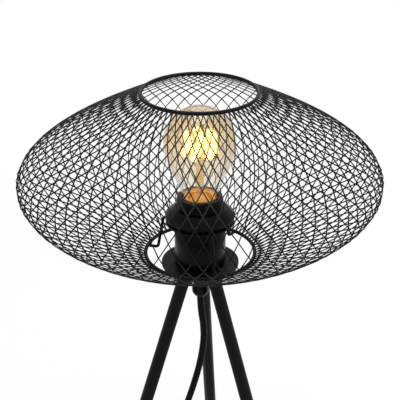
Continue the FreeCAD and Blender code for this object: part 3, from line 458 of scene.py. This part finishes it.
def smooth_object(name: str, bm: Mesh, material: Material, crease: float = 35.0) -> Piece:
    """Turn a bmesh into an object that shades smoothly below an angle.

    Args:
        name: name of the piece.
        bm: its mesh, which is freed.
        material: its finish.
        crease: angle in degrees above which an edge stays sharp.

    Returns:
        The new object.
    """
    mesh = bpy.data.meshes.new(name)
    bm.to_mesh(mesh)
    bm.free()
    mesh.shade_smooth()
    mesh.set_sharp_from_angle(angle=math.radians(crease))
    mesh.materials.append(material)
    LOG.info("%s: %d faces", name, len(mesh.polygons))
    return link(bpy.data.objects.new(name, mesh))


def seat(piece: Piece, body: Body, slot: Slot, *nodes: str) -> Piece:
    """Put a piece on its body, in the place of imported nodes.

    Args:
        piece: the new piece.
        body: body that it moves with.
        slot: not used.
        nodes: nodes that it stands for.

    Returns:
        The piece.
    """
    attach(piece, body.value)
    if nodes:
        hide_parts(*nodes)
    return piece


def dress(nodes: Pieces, names: Iterable[str], material: Material) -> None:
    """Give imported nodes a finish.

    Args:
        nodes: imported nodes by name.
        names: those to dress.
        material: the finish.
    """
    for name in names:
        for slot in nodes[name].material_slots:
            slot.material = material
        LOG.info("%s: dressed in %s", name, material.name)


def arc_points(centre: Place, radius: float, start: float, end: float, count: int) -> list[Place]:
    """Points on an arc in the (radius, height) plane.

    Args:
        centre: centre of the arc.
        radius: radius of the arc.
        start: first angle in degrees from the outward direction.
        end: last angle in degrees.
        count: number of points.

    Returns:
        The points, both ends included.
    """
    angles = [math.radians(start + (end - start) * step / (count - 1)) for step in range(count)]
    return [
        (centre[0] + radius * math.cos(angle), centre[1] + radius * math.sin(angle)) for angle in angles]


def bent(start: Vector, control: Vector, end: Vector, count: int) -> list[Vector]:
    """Points of a curve that bends towards a control point, both ends included."""
    shares = [step / (count - 1) for step in range(count)]
    return [start * (1 - t) ** 2 + control * (2 * t * (1 - t)) + end * t ** 2 for t in shares]


def softened(corners: Sequence[Place], reach: float, count: int = 5) -> list[Place]:
    """Closed outline with its corners rounded.

    Args:
        corners: the outline's corners in order.
        reach: distance from a corner at which its rounding starts, where the side is long enough.
        count: points on each rounding.

    Returns:
        The points of the rounded outline.
    """
    points = []
    places = [Vector(corner) for corner in corners]
    for before, corner, after in zip(places[-1:] + places[:-1], places, places[1:] + places[:1]):
        start = corner + (before - corner) * min(reach / (before - corner).length, CORNER_SHARE)
        end = corner + (after - corner) * min(reach / (after - corner).length, CORNER_SHARE)
        points.extend(tuple(point) for point in bent(start, corner, end, count))
    return points


def chain(bm: Mesh, places: Iterable[Sequence[float]], closed: bool) -> list[Any]:
    """Line of edges through places.

    Args:
        bm: mesh that takes the line.
        places: its points in order.
        closed: whether the last point joins the first.

    Returns:
        The line's vertices, then its edges.
    """
    corners = [bm.verts.new(place) for place in places]
    onwards = corners[1:] + corners[:1] if closed else corners[1:]
    return corners + [bm.edges.new(pair) for pair in zip(corners, onwards)]


def lathe(bm: Mesh, outline: Sequence[Place], steps: int = 96, closed: bool = False) -> None:
    """Spin an outline once round the lamp's axis.

    Args:
        bm: mesh that takes the shape.
        outline: (radius, height) points.
        steps: facets round the axis.
        closed: whether the last point joins the first.
    """
    line = chain(bm, [(radius, 0.0, height) for radius, height in outline], closed)
    bmesh.ops.spin(
        bm, geom=line, cent=(0, 0, 0), axis=(0, 0, 1), angle=FULL_TURN, steps=steps, use_merge=True)
    bmesh.ops.remove_doubles(bm, verts=bm.verts[:], dist=SEAM_GAP)
    bmesh.ops.recalc_face_normals(bm, faces=bm.faces[:])


@dataclass
class Studio:
    """Camera at the photograph's angle, soft lights, white surround and pale floor."""

    camera_place: Point = (0.0, -0.6805, 0.6628)
    camera_aim: Point = (0.00008, 0.0, 0.32425)
    camera_lens: float = 81.036
    camera_sensor: float = 36.0
    camera_roll: float = -0.005
    light_aim: Point = (0.0, 0.0, 0.3)
    softbox_side: float = 1.2
    softboxes: tuple[tuple[str, Point, float], ...] = (
        ("overhead_softbox", (0.1, 0.35, 2.1), 32.0),
        ("left_softbox", (-1.4, -0.9, 1.2), 8.0),
        ("right_softbox", (1.5, -0.7, 1.0), 12.0),
        ("back_softbox", (0.2, 1.6, 1.5), 5.0))
    floor_half: float = 4.0
    floor_white: float = 0.6
    floor_fade: Place = (0.2, 0.9)
    paper_tones: Stops = ((0.3, (0.86, 0.86, 0.86)), (0.7, (0.88, 0.88, 0.88)))
    paper_clouds: float = 3.0
    surround: float = 0.25

    def add_camera(self) -> Piece:
        """Make the camera and put it to use.

        Returns:
            The camera.
        """
        data = bpy.data.cameras.new("camera")
        data.lens = self.camera_lens
        data.sensor_width = self.camera_sensor
        camera = bpy.data.objects.new("camera", data)
        place = Vector(self.camera_place)
        forward = (Vector(self.camera_aim) - place).normalized()
        level = forward.cross(Vector((0, 0, 1))).normalized()
        upright = level.cross(forward)
        right = level * math.cos(self.camera_roll) + upright * math.sin(self.camera_roll)
        up = upright * math.cos(self.camera_roll) - level * math.sin(self.camera_roll)
        turn = Matrix((right, up, -forward)).transposed()
        camera.matrix_world = Matrix.Translation(place) @ turn.to_4x4()
        bpy.context.scene.camera = link(camera)
        return camera

    def floor_material(self) -> Material:
        """Pale paper that fades to white with the distance from the lamp.

        Returns:
            The material.
        """
        graph = ShaderGraph(bpy.data.materials.new("studio_floor"))
        tone = graph.ramp(graph.noise(self.paper_clouds, detail=3.0), self.paper_tones)
        paper = graph.add("ShaderNodeBsdfDiffuse", {"Color": tone})
        white = graph.add("ShaderNodeEmission", {"Color": WHITE, "Strength": 1.0})
        place = graph.add("ShaderNodeTexCoord").outputs["Object"]
        reach = graph.add("ShaderNodeVectorMath", {0: place}, operation="LENGTH")
        fade = graph.spread(reach.outputs["Value"], self.floor_fade, (self.floor_white, 1.0))
        share = graph.add("ShaderNodeMath", {0: graph.seen_rays(), 1: fade}, operation="MULTIPLY")
        return graph.surface(graph.mixed(share.outputs[0], paper, white))

    def add_floor(self) -> Piece:
        """Lay the pale floor, which keeps a soft shadow near the lamp.

        Returns:
            The floor.
        """
        bm = bmesh.new()
        bmesh.ops.create_grid(bm, x_segments=2, y_segments=2, size=self.floor_half)
        floor = smooth_object("studio_floor", bm, self.floor_material())
        return floor

    def add_surround(self) -> None:
        """White surround as it is seen, and a softer one as it lights."""
        world = bpy.data.worlds.new("studio_surround")
        bpy.context.scene.world = world
        graph = ShaderGraph(world, "ShaderNodeOutputWorld")
        light = graph.add("ShaderNodeBackground", {"Color": WHITE, "Strength": self.surround})
        seen = graph.add("ShaderNodeBackground", {"Color": WHITE, "Strength": 1.0})
        graph.surface(graph.mixed(graph.seen_rays(), light, seen))

    def add_softbox(self, name: str, place: Point, power: float) -> Piece:
        """Hang a square softbox that faces the lamp.

        Args:
            name: name of the light.
            place: where it hangs.
            power: watts.

        Returns:
            The light.
        """
        data = bpy.data.lights.new(name, "AREA")
        data.size = self.softbox_side
        data.energy = power
        light = bpy.data.objects.new(name, data)
        light.location = place
        way = Vector(self.light_aim) - Vector(place)
        light.rotation_euler = way.to_track_quat("-Z", "Y").to_euler()
        return link(light)

    def light(self) -> None:
        """Hang the softboxes and set the surround and the view's transform."""
        for name, place, power in self.softboxes:
            self.add_softbox(name, place, power)
        self.add_surround()
        bpy.context.scene.view_settings.view_transform = "Standard"


@dataclass
class Flex:
    """Mains cord with its tie: a stretch from grip to switch, and one through the coil to the plug.

    In millimetres, apart from the two lengths, which are in metres.
    """

    radius: float = 3.1
    upper_length: float = 0.3431
    lower_length: float = 1.4589
    coil_centre: Place = (78.0, 38.6)
    coil_inner: float = 27.7
    coil_pitch: float = 6.7
    coil_turns: float = 5.25
    coil_height: float = 4.0
    climb_turns: float = 0.5
    points_per_turn: int = 24
    hanging: tuple[Point, ...] = (
        (0, 0, 234.0048), (0, 0, 216), (4, -0.8, 192), (0.2, -2, 160), (-8, -3.5, 128), (-17.5, -5, 99),
        (-28.5, -7, 71), (-40.5, -10, 47), (-52.5, -15.5, 29), (-63, -25, 15), (-69.5, -40, 6.3),
        (-69.5, -58, 3.3), (-61, -74.5, 3.5), (-47, -84, 5.4), (-30, -86, 7), (-12, -86, 7))
    link: tuple[Point, ...] = (
        (42, -86, 7), (60, -86, 7), (78, -83.5, 4.8), (94, -75, 3.25), (107.5, -61, 3.2), (116, -43, 3.2),
        (120.6, -23, 3.25), (122.6, -3, 3.6), (123.2875, 15, 4.0), (123.2875, 32.4, 4.0))
    tail: tuple[Point, ...] = (
        (71.8, 83.8875, 10.7), (54, 83.8875, 10.7), (37, 78.5, 9.2), (22.5, 68, 7), (6.5, 57, 7))
    curve_order: int = 3
    run_steps: int = 6
    round_steps: int = 5
    tie_width: float = 8.0
    tie_wall: float = 0.6
    tie_gap: float = 0.3
    tie_rounding: float = 4.5
    tie_rounding_points: int = 7
    tie_edge: float = 0.2
    tie_edge_steps: int = 2
    tie_edge_angle: float = 60.0
    tie_azimuth: float = 225.0

    def coil(self) -> list[Point]:
        """Points of the coil's turns: in on the lower layer, up, and out on the upper one.

        Returns:
            The points from the outer end of the lower layer on.
        """
        half = self.coil_turns / 2
        points = []
        for step in range(int(self.coil_turns * self.points_per_turn) + 1):
            turns = step / self.points_per_turn - half
            angle = FULL_TURN * (half + turns)
            radius = self.coil_inner + self.coil_pitch * abs(turns)
            climbed = min(max(turns / self.climb_turns + 0.5, 0.0), 1.0)
            points.append((
                self.coil_centre[0] + radius * math.cos(angle),
                self.coil_centre[1] + radius * math.sin(angle),
                self.coil_height + self.coil_pitch * climbed))
        return points

    def tube(self, name: str, points: Sequence[Point], material: Material) -> Piece:
        """Smooth round cord through control points.

        Args:
            name: name of the piece.
            points: control points of its line.
            material: its finish.

        Returns:
            The cord.
        """
        curve = bpy.data.curves.new(name, "CURVE")
        curve.dimensions = "3D"
        curve.bevel_depth = self.radius * MM
        curve.bevel_resolution = self.round_steps
        curve.use_fill_caps = True
        curve.resolution_u = self.run_steps
        spline = curve.splines.new("NURBS")
        spline.points.add(len(points) - 1)
        for control, place in zip(spline.points, points):
            control.co = (place[0] * MM, place[1] * MM, place[2] * MM, 1.0)
        spline.order_u = self.curve_order
        spline.use_endpoint_u = True
        curve.materials.append(material)
        LOG.info("%s: %d control points", name, len(points))
        return link(bpy.data.objects.new(name, curve))

    def build_tie(self, material: Material) -> Piece:
        """Strap round one side of the coil.

        Args:
            material: the finish.

        Returns:
            The strap.
        """
        spare = self.tie_gap + self.tie_wall
        inside = self.coil_inner - self.radius - self.tie_gap - spare
        outside = self.coil_inner + self.coil_pitch * self.coil_turns / 2 + self.radius + spare
        crown = self.coil_height + self.coil_pitch + self.radius + spare
        corners = [(inside, 0.0), (outside, 0.0), (outside, crown), (inside, crown)]
        outline = softened(corners, self.tie_rounding, self.tie_rounding_points)
        bm = bmesh.new()
        chain(bm, [(reach, -self.tie_width / 2, height) for reach, height in outline], closed=True)
        grown = bmesh.ops.extrude_edge_only(bm, edges=bm.edges[:])["geom"]
        far = [item for item in grown if isinstance(item, bmesh.types.BMVert)]
        bmesh.ops.translate(bm, verts=far, vec=(0, self.tie_width, 0))
        bmesh.ops.recalc_face_normals(bm, faces=bm.faces[:])
        bmesh.ops.solidify(bm, geom=bm.faces[:], thickness=self.tie_wall)
        sharp = math.radians(self.tie_edge_angle)
        rims = [edge for edge in bm.edges if abs(edge.calc_face_angle(0.0)) > sharp]
        bmesh.ops.bevel(
            bm, geom=rims, offset=self.tie_edge, segments=self.tie_edge_steps, profile=0.5, affect="EDGES",
            material=-1)
        turn = Matrix.Rotation(math.radians(self.tie_azimuth), 4, "Z")
        place = Matrix.Translation((*self.coil_centre, 0.0)) @ turn
        bmesh.ops.transform(bm, matrix=Matrix.Scale(MM, 4) @ place, verts=bm.verts[:])
        return smooth_object("coil_strap", bm, material)

    def build(self, nodes: Pieces, plug: Piece) -> None:
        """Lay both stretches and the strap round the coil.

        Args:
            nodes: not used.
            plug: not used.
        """
        jacket = CORD_JACKET.material()
        upper = self.tube("flex_upper", self.hanging, jacket)
        seat(upper, Body.STAND, Slot.CORD_BLACK, "cord_hanging")
        lower = self.tube("flex_lower", [*self.link, *self.coil(), *self.tail], jacket)
        seat(lower, Body.STAND, Slot.CORD_BLACK, "cord_link", "cord_coil", "cord_tail")
        strap = seat(self.build_tie(TIE_PLASTIC.material()), Body.STAND, Slot.CORD_BLACK, "cord_tie")


@dataclass
class Shade:
    """Saucer shade: one expanded sheet of fused strands between two hem rings."""

    radius: float = 150.0 * MM
    height: float = 145.0 * MM
    base: float = 275.0 * MM
    equator_rise: float = 73.8 * MM
    mouth_radius: float = 47.25 * MM
    rounding: float = 42.0 * MM
    strands: int = 76
    half_rows: int = 25
    phase: float = 270.9
    strand_width: float = 0.83 * MM
    strand_thickness: float = 0.7 * MM
    sheet_proud: float = 1.0 * MM
    seam_gap: float = 0.01 * MM
    side_steps: int = 800

    def radius_at(self, height: float) -> float:
        """Radius of the shade at a height above the table.

        Args:
            height: height above the table.

        Returns:
            The radius that the sheet's outer face stands proud of.
        """
        rise = height - self.base - self.equator_rise
        reach = self.height - self.equator_rise if rise > 0 else self.equator_rise
        full = math.hypot(1, reach / self.rounding) - 1
        part = math.hypot(1, rise / self.rounding) - 1
        return self.radius - (self.radius - self.mouth_radius) * part / full

    def row_places(self) -> list[Place]:
        """Radius and height of each half row, evenly spaced down the sheet.

        Returns:
            One (radius, height) pair for each row, from the top ring.
        """
        steps = self.side_steps
        heights = [self.base + self.height * (1 - step / steps) for step in range(steps + 1)]
        side = [(self.radius_at(height), height) for height in heights]
        lengths = [0.0]
        for (r0, z0), (r1, z1) in zip(side, side[1:]):
            lengths.append(lengths[-1] + math.hypot(r1 - r0, z1 - z0))
        rows = []
        for row in range(self.half_rows + 1):
            wanted = lengths[-1] * row / self.half_rows
            index = min(range(len(lengths)), key=lambda i: abs(lengths[i] - wanted))
            rows.append(side[index])
        return rows

    def lattice(self) -> Mesh:
        """Diamond faces of the sheet, made from a flat grid that is poked and rolled up.

        Returns:
            The mesh.
        """
        bm = bmesh.new()
        full_rows = (self.half_rows + 1) // 2
        half_side = 0.5
        bmesh.ops.create_grid(bm, x_segments=self.strands, y_segments=full_rows, size=half_side)
        middles = set(bmesh.ops.poke(bm, faces=bm.faces[:])["verts"])
        rows = self.row_places()
        half_mesh = math.pi / self.strands
        below = set()
        for vert in bm.verts:
            row = round(2 * full_rows * (half_side - vert.co.y))
            half_meshes = 2 * self.strands * (vert.co.x + half_side) + 1
            angle = math.radians(self.phase) + half_mesh * half_meshes
            middle_radius, height = rows[min(row, self.half_rows)]
            radius = middle_radius + self.sheet_proud
            vert.co = (radius * math.cos(angle), radius * math.sin(angle), height)
            if row > self.half_rows:
                below.add(vert)
        flat = [face for face in bm.faces if sum(vert in below for vert in face.verts) > 1]
        bmesh.ops.delete(bm, geom=flat, context="FACES")
        bmesh.ops.remove_doubles(bm, verts=bm.verts[:], dist=self.seam_gap)
        crossing = [
            edge for edge in bm.edges
            if len(edge.link_faces) == 2 and not any(vert in middles for vert in edge.verts)]
        bmesh.ops.dissolve_edges(bm, edges=crossing, use_verts=False)
        bmesh.ops.recalc_face_normals(bm, faces=bm.faces[:])
        return bm

    def build_sheet(self, material: Material) -> Piece:
        """Cut the diamonds out of the sheet and give it its thickness.

        Args:
            material: the finish.

        Returns:
            The sheet.
        """
        bm = self.lattice()
        holes = bm.faces[:]
        bmesh.ops.inset_individual(bm, faces=holes, thickness=self.strand_width / 2, use_even_offset=True)
        bmesh.ops.delete(bm, geom=holes, context="FACES")
        bm.normal_update()
        bmesh.ops.solidify(bm, geom=bm.faces[:], thickness=self.strand_thickness)
        bmesh.ops.recalc_face_normals(bm, faces=bm.faces[:])
        return smooth_object("shade_sheet", bm, material, crease=40.0)

    def build(self, nodes: Pieces) -> None:
        """Build the sheet and dress the rings, arms and fitter.

        Args:
            nodes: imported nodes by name.
        """
        paint = POWDER_COAT.material()
        sheet = self.build_sheet(paint)
        seat(sheet, Body.SHADE, Slot.BLACK_METAL, "shade_strands_left", "shade_strands_right")
        dress(nodes, ["shade_fitter", "shade_top_ring", "shade_bottom_ring"], paint)
        dress(nodes, ["shade_arm_left", "shade_arm_back", "shade_arm_front"], paint)


@dataclass
class Bulb:
    """Lit filament bulb: amber glass, stem, filaments and screw cap."""

    cap_top: float = 326.7 * MM
    glass_radius: float = 30.0 * MM
    glass_height: float = 81.1 * MM
    shoulder_inset: float = 4.7 * MM
    shoulder_drop: float = 22.0 * MM
    side_bulge: float = 1.2 * MM
    throat_radius: float = 13.6 * MM
    throat_hollow: float = 0.35 * MM
    throat_lift: float = 0.05 * MM
    neck_radius: float = 11.45 * MM
    neck_depth: float = 5.0 * MM
    wall: float = 0.9 * MM
    throat_points: int = 10
    flank_points: int = 9
    crown_points: int = 20
    filaments: int = 6
    core_radius: float = 1.25 * MM
    halo_radius: float = 3.4 * MM
    filament_low: float = 364.7 * MM
    filament_rise: float = 22.0 * MM
    low_ring: float = 13.0 * MM
    high_ring: float = 12.0 * MM
    twist: float = 50.0
    clear: float = 1.4 * MM
    stick_sides: int = 16
    end_rounding: float = 0.7
    end_steps: int = 4

    def through(self, first: Place, middle: Place, last: Place, count: int) -> list[Place]:
        """Points of a gentle curve through three points.

        Args:
            first: where it starts.
            middle: where it is halfway.
            last: where it ends.
            count: number of points.

        Returns:
            The points, both ends included.
        """
        start, end = Vector(first), Vector(last)
        control = 2 * Vector(middle) - (start + end) / 2
        return [tuple(point) for point in bent(start, control, end, count)]

    def glass_outline(self) -> list[Place]:
        """Outer outline of the glass from its neck to its top.

        Returns:
            Its (radius, height) points.
        """
        middle = self.cap_top + self.glass_height - self.glass_radius
        shoulder = (self.glass_radius - self.shoulder_inset, middle - self.shoulder_drop)
        throat = (self.throat_radius, self.cap_top + self.throat_lift)
        side = (self.glass_radius, middle)
        hollow = ((shoulder[0] + throat[0]) / 2 - self.throat_hollow, (shoulder[1] + throat[1]) / 2)
        flank = ((side[0] + shoulder[0]) / 2 + self.side_bulge, (side[1] + shoulder[1]) / 2)
        neck = [(self.neck_radius, self.cap_top - self.neck_depth), (self.neck_radius, throat[1])]
        lower = self.through(throat, hollow, shoulder, self.throat_points)
        upper = self.through(shoulder, flank, side, self.flank_points)
        crown = arc_points((0.0, middle), self.glass_radius, 0.0, 90.0, self.crown_points)
        crown[-1] = (0.0, middle + self.glass_radius)
        return neck + lower + upper[1:] + crown[1:]

    def build_glass(self) -> Piece:
        """Blow the glass with its wall.

        Returns:
            The glass.
        """
        bm = bmesh.new()
        lathe(bm, self.glass_outline())
        bmesh.ops.solidify(bm, geom=bm.faces[:], thickness=self.wall)
        return smooth_object("glass_bulb", bm, AMBER_GLASS.material(), crease=50.0)

    def build_filaments(self, name: str, radius: float, material: Material) -> Piece:
        """Stand sticks round the stem where the filaments are.

        Args:
            name: name of the piece.
            radius: radius of each stick.
            material: the finish.

        Returns:
            The sticks as one piece.
        """
        bm = bmesh.new()
        low_end = Vector((self.low_ring, 0.0, self.filament_low))
        high_end = Vector((self.high_ring, 0.0, self.filament_low + self.filament_rise))
        for index in range(self.filaments):
            start = FULL_TURN * index / self.filaments
            foot = Matrix.Rotation(start, 3, "Z") @ low_end
            head = Matrix.Rotation(start + math.radians(self.twist), 3, "Z") @ high_end
            along = head - foot
            turn = along.to_track_quat("Z", "Y").to_matrix().to_4x4()
            made = bmesh.ops.create_cone(
                bm, cap_ends=True, segments=self.stick_sides, radius1=radius, radius2=radius,
                depth=along.length - 2 * self.clear, matrix=Matrix.Translation((foot + head) / 2) @ turn)
            verts = set(made["verts"])
            rims = [
                edge for edge in bm.edges if verts.issuperset(edge.verts)
                and any(len(face.verts) == self.stick_sides for face in edge.link_faces)]
            bmesh.ops.bevel(
                bm, geom=rims, offset=self.end_rounding * radius, segments=self.end_steps, profile=0.5,
                affect="EDGES", material=-1)
        return smooth_object(name, bm, material, crease=60.0)

    def build(self, nodes: Pieces) -> None:
        """Build the glass and filaments and dress the rest.

        Args:
            nodes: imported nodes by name.
        """
        seat(self.build_glass(), Body.BULB, Slot.AMBER_GLASS, "bulb_glass")
        cores = self.build_filaments("filament_cores", self.core_radius, FILAMENT_CORE.material())
        seat(cores, Body.BULB, Slot.FILAMENT, "bulb_filaments")
        # Painted glow: a wider glowing halo round each filament stands in for the glow of its light.
        painted_halos = self.build_filaments("painted_filament_halos", self.halo_radius, FILAMENT_HALO.material())
        seat(painted_halos, Body.BULB, Slot.FILAMENT)
        dress(nodes, ["bulb_stem"], STEM_GLASS.material())
        dress(nodes, ["bulb_cap", "bulb_tip"], CAP_METAL.material())
        dress(nodes, ["bulb_insulator"], INSULATOR_BLACK.material())
        dress(nodes, ["filament_supports"], STEEL.material())


@dataclass
class Holder:
    """Lamp holder with its threaded sleeve and inner parts, shade ring, nipple and cord grip."""

    seam: float = 300.3 * MM
    flange_top: float = 304.6 * MM
    rim_top: float = 328.7 * MM
    lip_depth: float = 3.0 * MM
    flange_radius: float = 22.0 * MM
    root_radius: float = 19.2 * MM
    thread_radius: float = 19.95 * MM
    sleeve_bore: float = 17.6 * MM
    mouth_radius: float = 14.6 * MM
    thread_pitch: float = 2.2 * MM
    thread_turns: int = 9
    thread_half_root: float = 0.7 * MM
    thread_half_crest: float = 0.25 * MM
    thread_bury: float = 0.25 * MM
    steps_per_turn: int = 48
    ring_low: float = 306.4 * MM
    ring_high: float = 318.4 * MM
    ring_bore: float = 20.3 * MM
    ring_radius: float = 29.7 * MM
    ring_wall: float = 2.0 * MM
    ring_rim_low: float = 308.9 * MM
    ring_rim_high: float = 311.7 * MM
    ring_top_width: float = 1.4 * MM
    rounding: float = 0.7 * MM
    crease: float = 30.0

    def add_thread(self, bm: Mesh) -> None:
        """Wind the thread round the sleeve as a helix.

        Args:
            bm: mesh that takes the thread.
        """
        start = self.flange_top + self.thread_pitch
        buried = self.root_radius - self.thread_bury
        corners = (
            (buried, 0, start - self.thread_half_root),
            (self.thread_radius, 0, start - self.thread_half_crest),
            (self.thread_radius, 0, start + self.thread_half_crest),
            (buried, 0, start + self.thread_half_root))
        bmesh.ops.spin(
            bm, geom=chain(bm, corners, closed=True), cent=(0, 0, 0), axis=(0, 0, 1),
            angle=FULL_TURN * self.thread_turns, steps=self.steps_per_turn * self.thread_turns,
            dvec=(0, 0, self.thread_pitch / self.steps_per_turn))
        ends = [edge for edge in bm.edges if edge.is_boundary]
        bmesh.ops.holes_fill(bm, edges=ends, sides=len(corners))

    def build_sleeve(self, material: Material) -> Piece:
        """Turn the sleeve with its thread.

        Args:
            material: the finish.

        Returns:
            The sleeve.
        """
        lip = self.rim_top - self.lip_depth
        bm = bmesh.new()
        lathe(bm, softened([
            (self.sleeve_bore, self.seam), (self.flange_radius, self.seam),
            (self.flange_radius, self.flange_top), (self.root_radius, self.flange_top),
            (self.root_radius, self.rim_top), (self.mouth_radius, self.rim_top),
            (self.mouth_radius, lip), (self.sleeve_bore, lip)], self.rounding), closed=True)
        self.add_thread(bm)
        bmesh.ops.recalc_face_normals(bm, faces=bm.faces[:])
        return smooth_object("threaded_sleeve", bm, material, self.crease)

    def build_ring(self, material: Material) -> Piece:
        """Turn the shade ring with rounded edges.

        Args:
            material: the finish.

        Returns:
            The ring.
        """
        roof = self.ring_rim_high - self.ring_wall
        hub = self.ring_bore + self.ring_wall
        inside = self.ring_radius - self.ring_wall
        bm = bmesh.new()
        lathe(bm, softened([
            (self.ring_bore, self.ring_low), (hub, self.ring_low), (hub, roof), (inside, roof),
            (inside, self.ring_rim_low), (self.ring_radius, self.ring_rim_low),
            (self.ring_radius, self.ring_rim_high), (self.ring_bore + self.ring_top_width, self.ring_high),
            (self.ring_bore, self.ring_high)], self.rounding), closed=True)
        return smooth_object("shade_ring_cone", bm, material, self.crease)

    def build(self, nodes: Pieces) -> None:
        """Build the sleeve and the ring and dress the holder's other pieces.

        Args:
            nodes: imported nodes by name.
        """
        plastic = HOLDER_PLASTIC.material()
        seat(self.build_sleeve(plastic), Body.STAND, Slot.HOLDER_BLACK, "holder_sleeve")
        seat(self.build_ring(plastic), Body.SHADE_RING, Slot.HOLDER_BLACK, "shade_ring")
        dress(nodes, ["holder_skirt", "cord_grip"], plastic)
        dress(nodes, ["holder_insert"], INSERT_WHITE.material())
        dress(nodes, ["screw_shell_contact", "centre_contact", "terminal_blocks"], BRASS.material())
        dress(nodes, ["nipple", "nipple_nut", "terminal_screws"], STEEL.material())
        dress(nodes, ["lead_wires"], LEAD_BROWN.material())


@dataclass
class Tripod:
    """Base disc, legs and feet."""

    sides: tuple[str, ...] = ("left", "right", "back")

    def build(self, nodes: Pieces) -> None:
        """Dress the disc and the legs in paint and the feet in rubber."""
        dress(nodes, ["base_disc", *(f"leg_{side}" for side in self.sides)], POWDER_COAT.material())
        dress(nodes, [f"foot_{side}" for side in self.sides], FOOT_RUBBER.material())


@dataclass
class SwitchAndPlug:
    """Cord switch, and the flat plug with its ribbed relief on the cord's end, in millimetres.

    A rib's profile is a list of places along its pitch with the share of the groove's depth there.
    """

    cord_end: Point = (6.5, 57.0, 7.0)
    cord_before: Point = (22.5, 68.0, 7.0)
    seat_depth: float = 4.0
    relief_length: float = 24.0
    relief_thin: float = 4.2
    relief_thick: float = 5.7
    relief_ribs: int = 7
    rib_profile: tuple[Place, ...] = ((0.02, 0.0), (0.5, 0.0), (0.56, 1.0), (0.94, 1.0))
    groove_depth: float = 0.75
    body_taper: float = 12.0
    taper_steps: int = 8
    body_length: float = 36.0
    half_width: float = 17.6
    half_height: float = 6.8
    squareness: float = 3.6
    nose_rounding: float = 1.6
    nose_steps: int = 3
    segments: int = 48

    def section(self, bm: Mesh, along: float, half_width: float, half_height: float,
                squareness: float = ROUND_POWER) -> list[bmesh.types.BMEdge]:
        """Loop across the plug's axis.

        Args:
            bm: mesh that takes the loop.
            along: distance from the relief's tip.
            half_width: half the loop's width.
            half_height: half its height.
            squareness: power of the rounded form, boxier above that of an ellipse.

        Returns:
            The loop's edges.
        """
        circle = bmesh.ops.create_circle(bm, cap_ends=False, segments=self.segments, radius=1.0)
        made = set(circle["verts"])
        power = ROUND_POWER / squareness
        for vert in made:
            y, z = vert.co.x, vert.co.y
            width = half_width * math.copysign(abs(y) ** power, y)
            vert.co = (along, width, half_height * math.copysign(abs(z) ** power, z))
        return [edge for edge in bm.edges if made.issuperset(edge.verts)]

    def relief_sections(self, bm: Mesh) -> list[list[bmesh.types.BMEdge]]:
        """Loops of the tapered relief with its ribs.

        Args:
            bm: mesh that takes the loops.

        Returns:
            The loops from the tip on.
        """
        loops = []
        pitch = (self.relief_length - self.seat_depth) / self.relief_ribs
        taper = (self.relief_thick - self.relief_thin) / self.relief_length
        for rib in range(self.relief_ribs):
            for share, depth in self.rib_profile:
                along = pitch * (rib + share)
                radius = self.relief_thin + taper * along - depth * self.groove_depth
                loops.append(self.section(bm, along, radius, radius))
        return loops

    def body_sections(self, bm: Mesh) -> list[list[bmesh.types.BMEdge]]:
        """Loops of the body, from the round relief to the boxy nose.

        Args:
            bm: mesh that takes the loops.

        Returns:
            The loops from the relief on.
        """
        start = self.relief_length - self.seat_depth
        shoulder = self.relief_length + self.body_taper
        front = self.relief_length + self.body_length
        loops = [self.section(bm, start, self.relief_thick, self.relief_thick)]
        for step in range(1, self.taper_steps + 1):
            t = step / self.taper_steps
            ease = t * t * (3 - 2 * t)
            loops.append(self.section(
                bm, start + (self.body_taper + self.seat_depth) * t,
                self.relief_thick + (self.half_width - self.relief_thick) * ease,
                self.relief_thick + (self.half_height - self.relief_thick) * ease,
                ROUND_POWER + (self.squareness - ROUND_POWER) * ease))
        middle = (shoulder + front) / 2
        loops.append(self.section(bm, middle, self.half_width, self.half_height, self.squareness))
        for step in range(self.nose_steps + 1):
            angle = math.pi / 2 * step / self.nose_steps
            inset = self.nose_rounding * (1 - math.cos(angle))
            along = front - self.nose_rounding * (1 - math.sin(angle))
            loops.append(self.section(
                bm, along, self.half_width - inset, self.half_height - inset, self.squareness))
        return loops

    def build_plug(self, material: Material) -> Piece:
        """Mould the plug's body and relief.

        Args:
            material: the finish.

        Returns:
            The plug.
        """
        bm = bmesh.new()
        loops = self.relief_sections(bm) + self.body_sections(bm)
        for near, far in zip(loops, loops[1:]):
            bmesh.ops.bridge_loops(bm, edges=near + far)
        bmesh.ops.holes_fill(bm, edges=loops[0] + loops[-1], sides=0)
        bmesh.ops.recalc_face_normals(bm, faces=bm.faces[:])
        way = (Vector(self.cord_end) - Vector(self.cord_before)).normalized()
        turn = Matrix.Rotation(math.atan2(way.y, way.x), 4, "Z")
        place = Matrix.Translation(Vector(self.cord_end) - way * self.seat_depth) @ turn
        bmesh.ops.transform(bm, matrix=Matrix.Scale(MM, 4) @ place, verts=bm.verts[:])
        return smooth_object("plug_moulding", bm, material, crease=40.0)

    def build(self, nodes: Pieces) -> Piece:
        """Build the plug and dress the switch and the pins.

        Args:
            nodes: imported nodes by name.

        Returns:
            The plug's body.
        """
        plastic = SWITCH_PLASTIC.material()
        plug = seat(self.build_plug(plastic), Body.STAND, Slot.SWITCH_BLACK, "plug_body")
        dress(nodes, ["switch_lower_shell", "switch_upper_shell", "switch_rocker"], plastic)
        dress(nodes, ["switch_contacts"], BRASS.material())
        dress(nodes, ["switch_screws", "plug_pins"], STEEL.material())
        return plug


def main() -> None:
    """Build the lamp and its studio."""
    logging.basicConfig(level=logging.INFO, format="%(name)s: %(message)s")
    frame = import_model()
    nodes = frame["nodes"]
    studio = Studio()
    studio.add_camera()
    plug = SwitchAndPlug().build(nodes)
    Flex().build(nodes, plug)
    Shade().build(nodes)
    Bulb().build(nodes)
    Holder().build(nodes)
    Tripod().build(nodes)
    studio.add_floor()
    studio.light()


if __name__ == "__main__":
    main()
